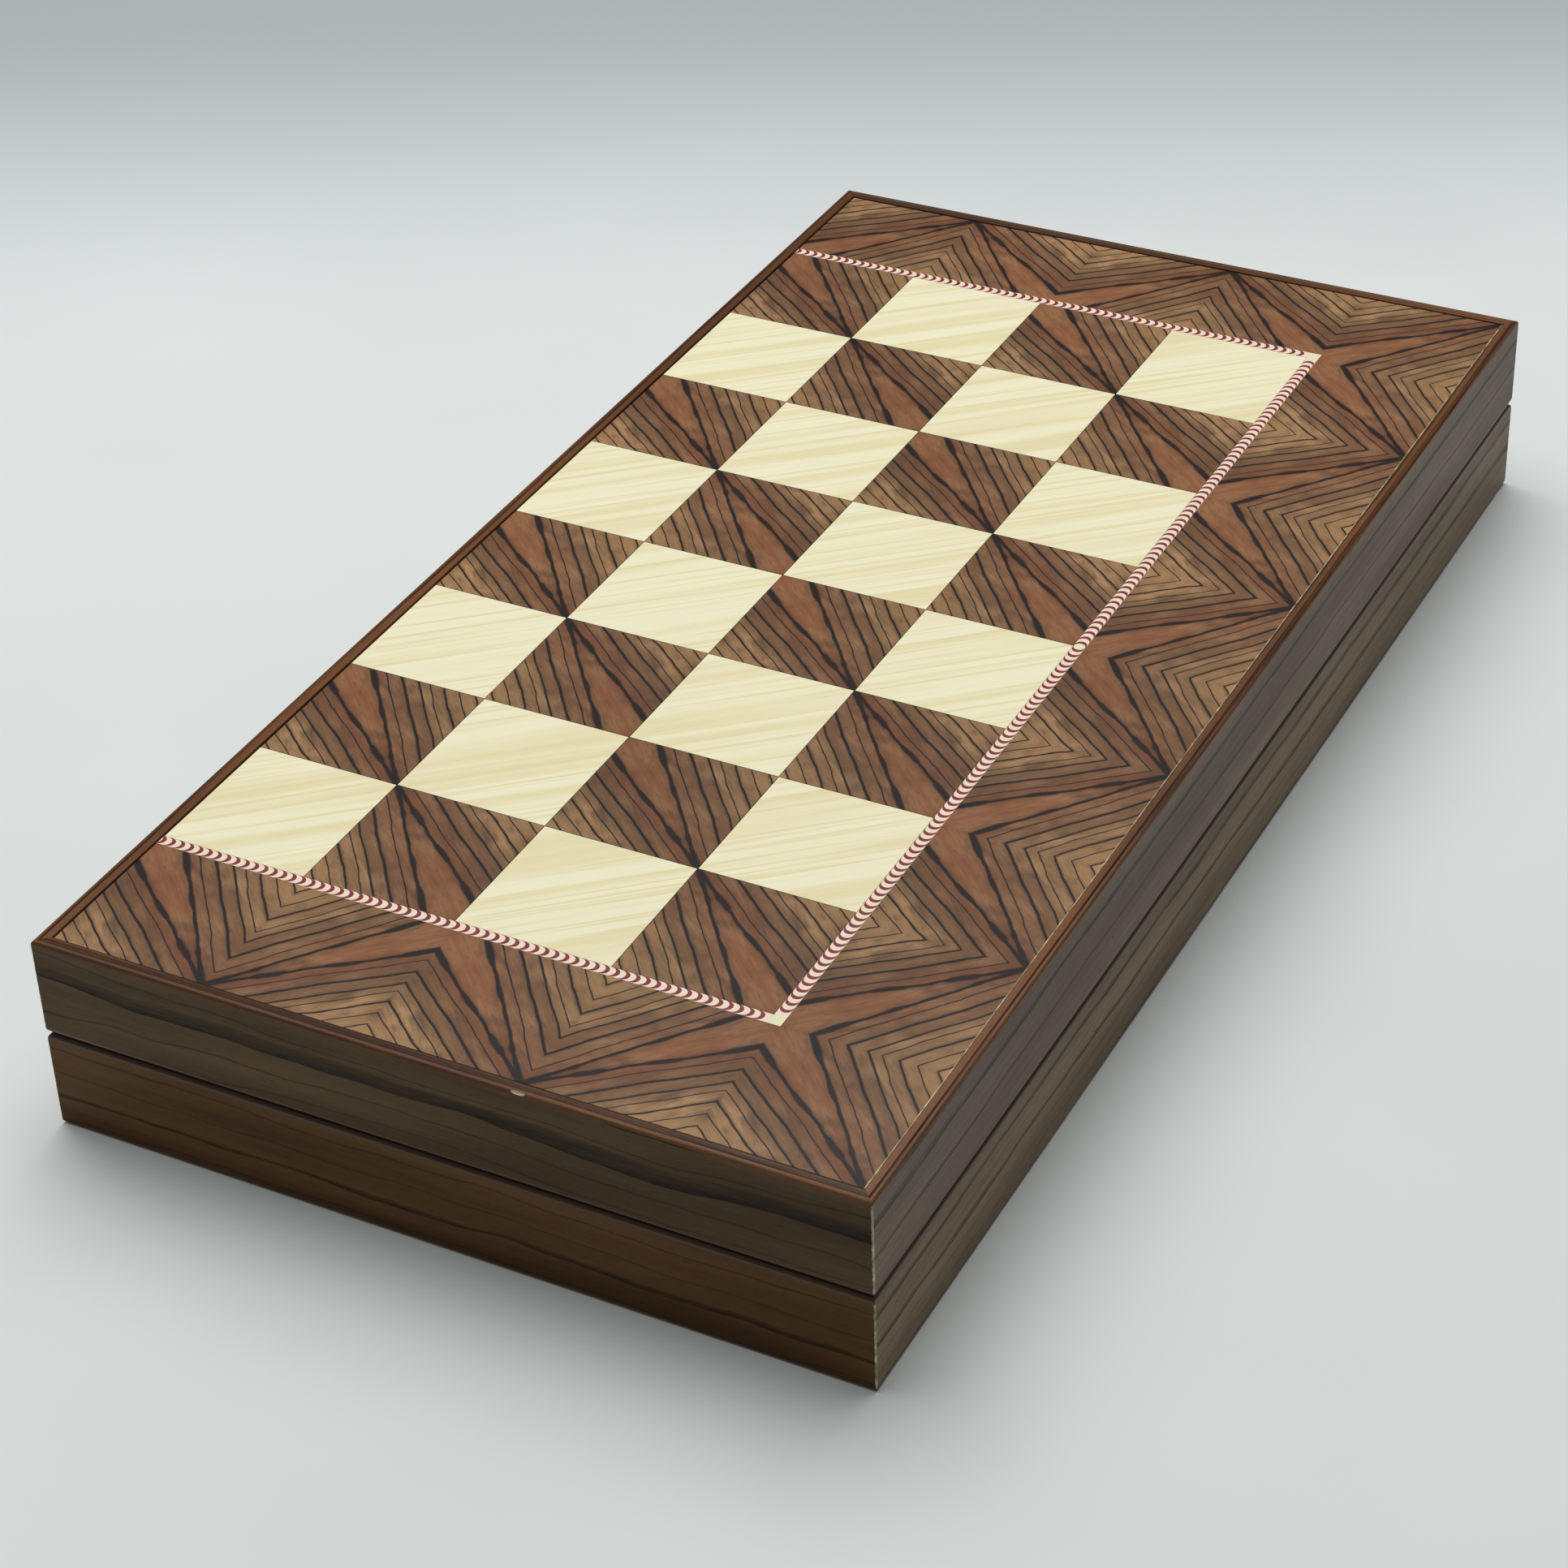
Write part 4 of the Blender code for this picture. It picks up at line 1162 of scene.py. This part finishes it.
for tray in tray_body:
    for side, x in (("left", -hinge_x), ("right", hinge_x)):
        carve(rails[f"{tray}_hinge_rail"], seat_cutters(x), tray, "DIFFERENCE", 1)
        make_leaf(tray, side, x)
        make_screws(tray, side, x)
for side, x in (("left", -hinge_x), ("right", hinge_x)):
    bm = bmesh.new()
    add_rod(bm, x - half_leaf, x + half_leaf, axis_y, axis_z, pin_radius, 24)
    round_edges(bm, [e for e in bm.edges if len({round(v.co.x, 5) for v in e.verts}) == 1], 0.00025, 3)
    hand_over(bm, f"hinge_{side}_pin_brass", "lower", [brass], [f"hinge_{side}_pin"])


# ---------------------------------------------------------------------------------------------
# Magnets
# The trays are held shut by two pairs of small nickel-plated magnets, glued into drilled pockets
# in the front rims, just below the surface.
# ---------------------------------------------------------------------------------------------
magnet_low, magnet_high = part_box("lower_magnet_right")
magnet_middle = (magnet_low + magnet_high) / 2
magnet_radius = (magnet_high.x - magnet_low.x) / 2
magnet_y = magnet_middle.y - middle_y
pocket_gap = 0.00036


def nickel_material():
    material, tree, shader, spot = new_material("nickel_plate")
    patch = cloud(tree, spot, 700.0, 3.0)
    colour = ramp(tree, patch, ((0.3, paint(206, 204, 200)), (0.8, paint(168, 164, 158))))
    tree.links.new(colour, shader.inputs["Base Color"])
    shader.inputs["Metallic"].default_value = 1.0
    tree.links.new(fade(tree, patch, 0.35, 0.75, 0.14, 0.36), shader.inputs["Roughness"])
    bump = put(tree, "Bump", {"Height": patch, "Strength": 0.08, "Distance": 0.0001})
    tree.links.new(bump, shader.inputs["Normal"])
    return material


nickel = nickel_material()
for tray in tray_body:
    for side, x in (("left", -magnet_middle.x), ("right", magnet_middle.x)):
        pocket = bmesh.new()
        pocket_radius = magnet_radius + pocket_gap
        add_disc(pocket, (x, magnet_y), pocket_radius, magnet_low.z - 0.0003, rail_height + 0.002, 48)
        carve(rails[f"{tray}_front_rail"], [pocket], tray, "DIFFERENCE", 1)
        bm = bmesh.new()
        add_disc(bm, (x, magnet_y), magnet_radius, magnet_low.z, magnet_high.z, 48)
        rims = [e for e in bm.edges if abs(e.verts[0].co.z - e.verts[1].co.z) < 0.00001]
        round_edges(bm, rims, 0.00025, 3)
        node = f"{tray}_magnet_{side}"
        hand_over(bm, f"{node}_nickel", tray, [nickel], [node])


# ---------------------------------------------------------------------------------------------
# Checkers
# Thirty turned wooden checkers, fifteen of pale maple and fifteen of dark walnut. Each has a
# rounded rim, one turned ring and a shallow dish on both faces, under a satin varnish.
# ---------------------------------------------------------------------------------------------
checker_low, checker_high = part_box("light_checker_01")
checker_height = checker_high.z - checker_low.z
checker_face = [
    (0.0, 0.0013),
    (0.0060, 0.00115),
    (0.0102, 0.0007),
    (0.0110, 0.0003),
    (0.0116, 0.0),
    (0.0128, 0.0),
    (0.0132, 0.0003),
    (0.0135, 0.0005),
    (0.0138, 0.0003),
    (0.0142, 0.0),
    (0.0160, 0.0),
    (0.0166, 0.00022),
    (0.0169, 0.0007),
    (0.0170, 0.0013),
]
checker_steps = 56
light_wood_colours = (paint(168, 122, 70), paint(214, 176, 120), paint(228, 196, 144))
dark_wood_colours = (paint(20, 11, 8), paint(66, 36, 24), paint(92, 52, 34))
checker_wood = {"light": [], "dark": []}
for number, turn in enumerate((0.2, 1.1, 2.3)):
    name = f"maple_{number + 1}"
    light_wood = long_grain(name, turn, light_wood_colours, 380.0, 5.0, 0.35, 31.0 + number, 0.36)
    checker_wood["light"].append(light_wood)
    name = f"dark_walnut_{number + 1}"
    dark_wood = long_grain(name, turn + 0.5, dark_wood_colours, 380.0, 5.0, 0.5, 41.0 + number, 0.36)
    checker_wood["dark"].append(dark_wood)


def checker_outline(low_z):
    """From the middle of the top, over the rim and back to the middle of the underside."""
    top = [(r, low_z + checker_height - sink) for r, sink in checker_face]
    under = [(r, low_z + sink) for r, sink in reversed(checker_face)]
    return top + under


for shade in ("light", "dark"):
    for number in range(1, 16):
        node = f"{shade}_checker_{number:02d}"
        low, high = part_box(node)
        middle = (low + high) / 2
        bm = bmesh.new()
        spin_profile(bm, checker_outline(low.z), (middle.x, middle.y - middle_y), checker_steps)
        wood = checker_wood[shade][(number * 7 + number // 4) % 3]
        hand_over(bm, f"{node}_turned", "lower", [wood], [node])


# ---------------------------------------------------------------------------------------------
# Dice
# Two small bone-coloured dice with rounded edges. Their pips are drilled hollows filled with
# black paint, and opposite faces add up to seven.
# ---------------------------------------------------------------------------------------------
die_turn = {"die_1": 25.0, "die_2": -38.0}
die_side = 0.0120
die_round = 0.0014
pip_offset = 0.0031
pip_radius = 0.0015
pip_sink = 0.0011
pip_places = {
    1: [(0, 0)],
    2: [(-1, -1), (1, 1)],
    3: [(-1, -1), (0, 0), (1, 1)],
    4: [(-1, -1), (-1, 1), (1, -1), (1, 1)],
    5: [(-1, -1), (-1, 1), (0, 0), (1, -1), (1, 1)],
    6: [(-1, -1), (-1, 0), (-1, 1), (1, -1), (1, 0), (1, 1)],
}
die_faces = {1: (0, "X"), 6: (180, "X"), 2: (90, "X"), 5: (-90, "X"), 3: (90, "Y"), 4: (-90, "Y")}


def bone_material():
    material, tree, shader, spot = new_material("die_bone")
    grain = cloud(tree, stretch(tree, spot, (120.0, 900.0, 120.0)), 1.0, 3.0)
    stops = ((0.3, paint(226, 216, 190)), (0.6, paint(238, 230, 208)), (0.85, paint(206, 190, 158)))
    colour = ramp(tree, grain, stops)
    tree.links.new(colour, shader.inputs["Base Color"])
    shader.inputs["Subsurface Weight"].default_value = 0.15
    shader.inputs["Subsurface Radius"].default_value = (0.002, 0.0015, 0.001)
    coat_with_lacquer(tree, shader, spot, 0.30, None, 0.3)
    return material


def pip_material():
    material, tree, shader, spot = new_material("pip_paint")
    tone = cloud(tree, spot, 900.0, 2.0)
    colour = ramp(tree, tone, ((0.3, paint(16, 15, 16)), (0.8, paint(34, 32, 32))))
    tree.links.new(colour, shader.inputs["Base Color"])
    coat_with_lacquer(tree, shader, spot, 0.30, None, 0.2)
    return material


def pips_cutter(place):
    bm = bmesh.new()
    for value, (angle, axis) in die_faces.items():
        turn = Matrix.Rotation(math.radians(angle), 4, axis)
        for column, row in pip_places[value]:
            spot = Vector((column * pip_offset, row * pip_offset, die_side / 2 + pip_sink))
            where = place @ turn @ Matrix.Translation(spot)
            bmesh.ops.create_icosphere(bm, subdivisions=3, radius=pip_radius, matrix=where)
    return bm


bone = bone_material()
pip_paint = pip_material()
for node, angle in die_turn.items():
    low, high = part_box(node)
    middle = (low + high) / 2 - Vector((0.0, middle_y, 0.0))
    place = Matrix.Translation(middle) @ Matrix.Rotation(math.radians(angle), 4, "Z")
    bm = bmesh.new()
    bmesh.ops.create_cube(bm, size=die_side)
    round_edges(bm, bm.edges[:], die_round, 5)
    bmesh.ops.transform(bm, matrix=place, verts=bm.verts)
    die = hand_over(bm, f"{node}_bone", "lower", [bone, pip_paint], [node])
    carve(die, [pips_cutter(place)], "lower", "DIFFERENCE", 1)


# ---------------------------------------------------------------------------------------------
# Floor, light and camera
# The box lies on a wide sheet of pale paper, with painted shade darkening it towards the back.
# It curves up only far behind, so that it hides the box from no side and stays clear of the open tray.
# One broad, soft light hangs above and behind. The view is from the near end's front corner.
# ---------------------------------------------------------------------------------------------
sweep_start = 5.0
sweep_radius = 0.30
paper_reach = 6.0
camera_place = Vector((-0.8461, -0.4324, 0.6549))
camera_turn = [math.radians(angle) for angle in (55.175, 1.880, -62.860)]


def floor_material():
    material, tree, shader, spot = new_material("paper_floor")
    tone = cloud(tree, spot, 6.0, 3.0)
    colour = ramp(tree, tone, ((0.3, paint(220, 225, 224)), (0.7, paint(226, 231, 230))))
    heading = (math.sin(-camera_turn[2]), math.cos(camera_turn[2]), 0.0)
    away = put(tree, "VectorMath", {0: spot, 1: heading}, operation="DOT_PRODUCT").node.outputs["Value"]
    # Painted shade: the paper's colour darkens further along the camera's heading, standing in for the
    # light's fall-off.
    colour = tint(tree, fade(tree, away, 0.26, 0.60), colour, paint(168, 173, 175))
    tree.links.new(colour, shader.inputs["Base Color"])
    speck = cloud(tree, spot, 500.0, 2.0)
    bump = put(tree, "Bump", {"Height": speck, "Strength": 0.05, "Distance": 0.0002})
    tree.links.new(bump, shader.inputs["Normal"])
    shader.inputs["Roughness"].default_value = 0.7
    return material


def make_floor():
    """A sheet of pale paper: flat under the box, and curving up behind it."""
    bm = bmesh.new()
    start = bm.verts.new((-paper_reach, sweep_start, 0.0))
    axis = {"axis": (1.0, 0.0, 0.0), "cent": (0.0, sweep_start, sweep_radius)}
    bmesh.ops.spin(bm, geom=[start], angle=math.radians(80), steps=32, use_merge=False, **axis)
    near = bm.verts.new((-paper_reach, -paper_reach, 0.0))
    bm.edges.new((near, start))
    grown = bmesh.ops.extrude_edge_only(bm, edges=bm.edges[:])["geom"]
    moved = [item for item in grown if isinstance(item, bmesh.types.BMVert)]
    bmesh.ops.translate(bm, verts=moved, vec=(2 * paper_reach, 0.0, 0.0))
    bmesh.ops.recalc_face_normals(bm, faces=bm.faces)
    turn = Matrix.Rotation(camera_turn[2], 4, "Z")
    place = Matrix.Translation((camera_place.x, camera_place.y, -0.0002))
    bmesh.ops.transform(bm, matrix=place @ turn, verts=bm.verts)
    mesh = bpy.data.meshes.new("paper_floor")
    bm.to_mesh(mesh)
    bm.free()
    mesh.materials.append(floor_material())
    mesh.shade_smooth()
    floor = bpy.data.objects.new("paper_floor", mesh)
    bpy.context.scene.collection.objects.link(floor)


def add_light(name, place, aim, size, power):
    light = bpy.data.lights.new(name, "AREA")
    light.shape = "RECTANGLE"
    light.size, light.size_y = size
    light.energy = power
    lamp = bpy.data.objects.new(name, light)
    bpy.context.scene.collection.objects.link(lamp)
    lamp.location = place
    lamp.rotation_euler = (Vector(aim) - Vector(place)).to_track_quat("-Z", "Y").to_euler()


def make_world():
    world = bpy.data.worlds.new("studio")
    world.use_nodes = True
    back = world.node_tree.nodes["Background"]
    back.inputs["Color"].default_value = (0.97, 0.99, 1.0, 1.0)
    back.inputs["Strength"].default_value = 0.17
    bpy.context.scene.world = world


def make_camera():
    lens = bpy.data.cameras.new("camera")
    lens.sensor_width = 36.0
    lens.lens = 87.57
    lens.clip_end = 50.0
    camera = bpy.data.objects.new("camera", lens)
    bpy.context.scene.collection.objects.link(camera)
    camera.location = camera_place
    camera.rotation_euler = camera_turn
    bpy.context.scene.camera = camera


make_floor()
make_world()
add_light("ceiling", (0.55, 0.45, 2.1), (0.15, 0.1, 0.0), (2.4, 2.4), 55.0)
make_camera()
bpy.context.scene.view_settings.view_transform = "Standard"
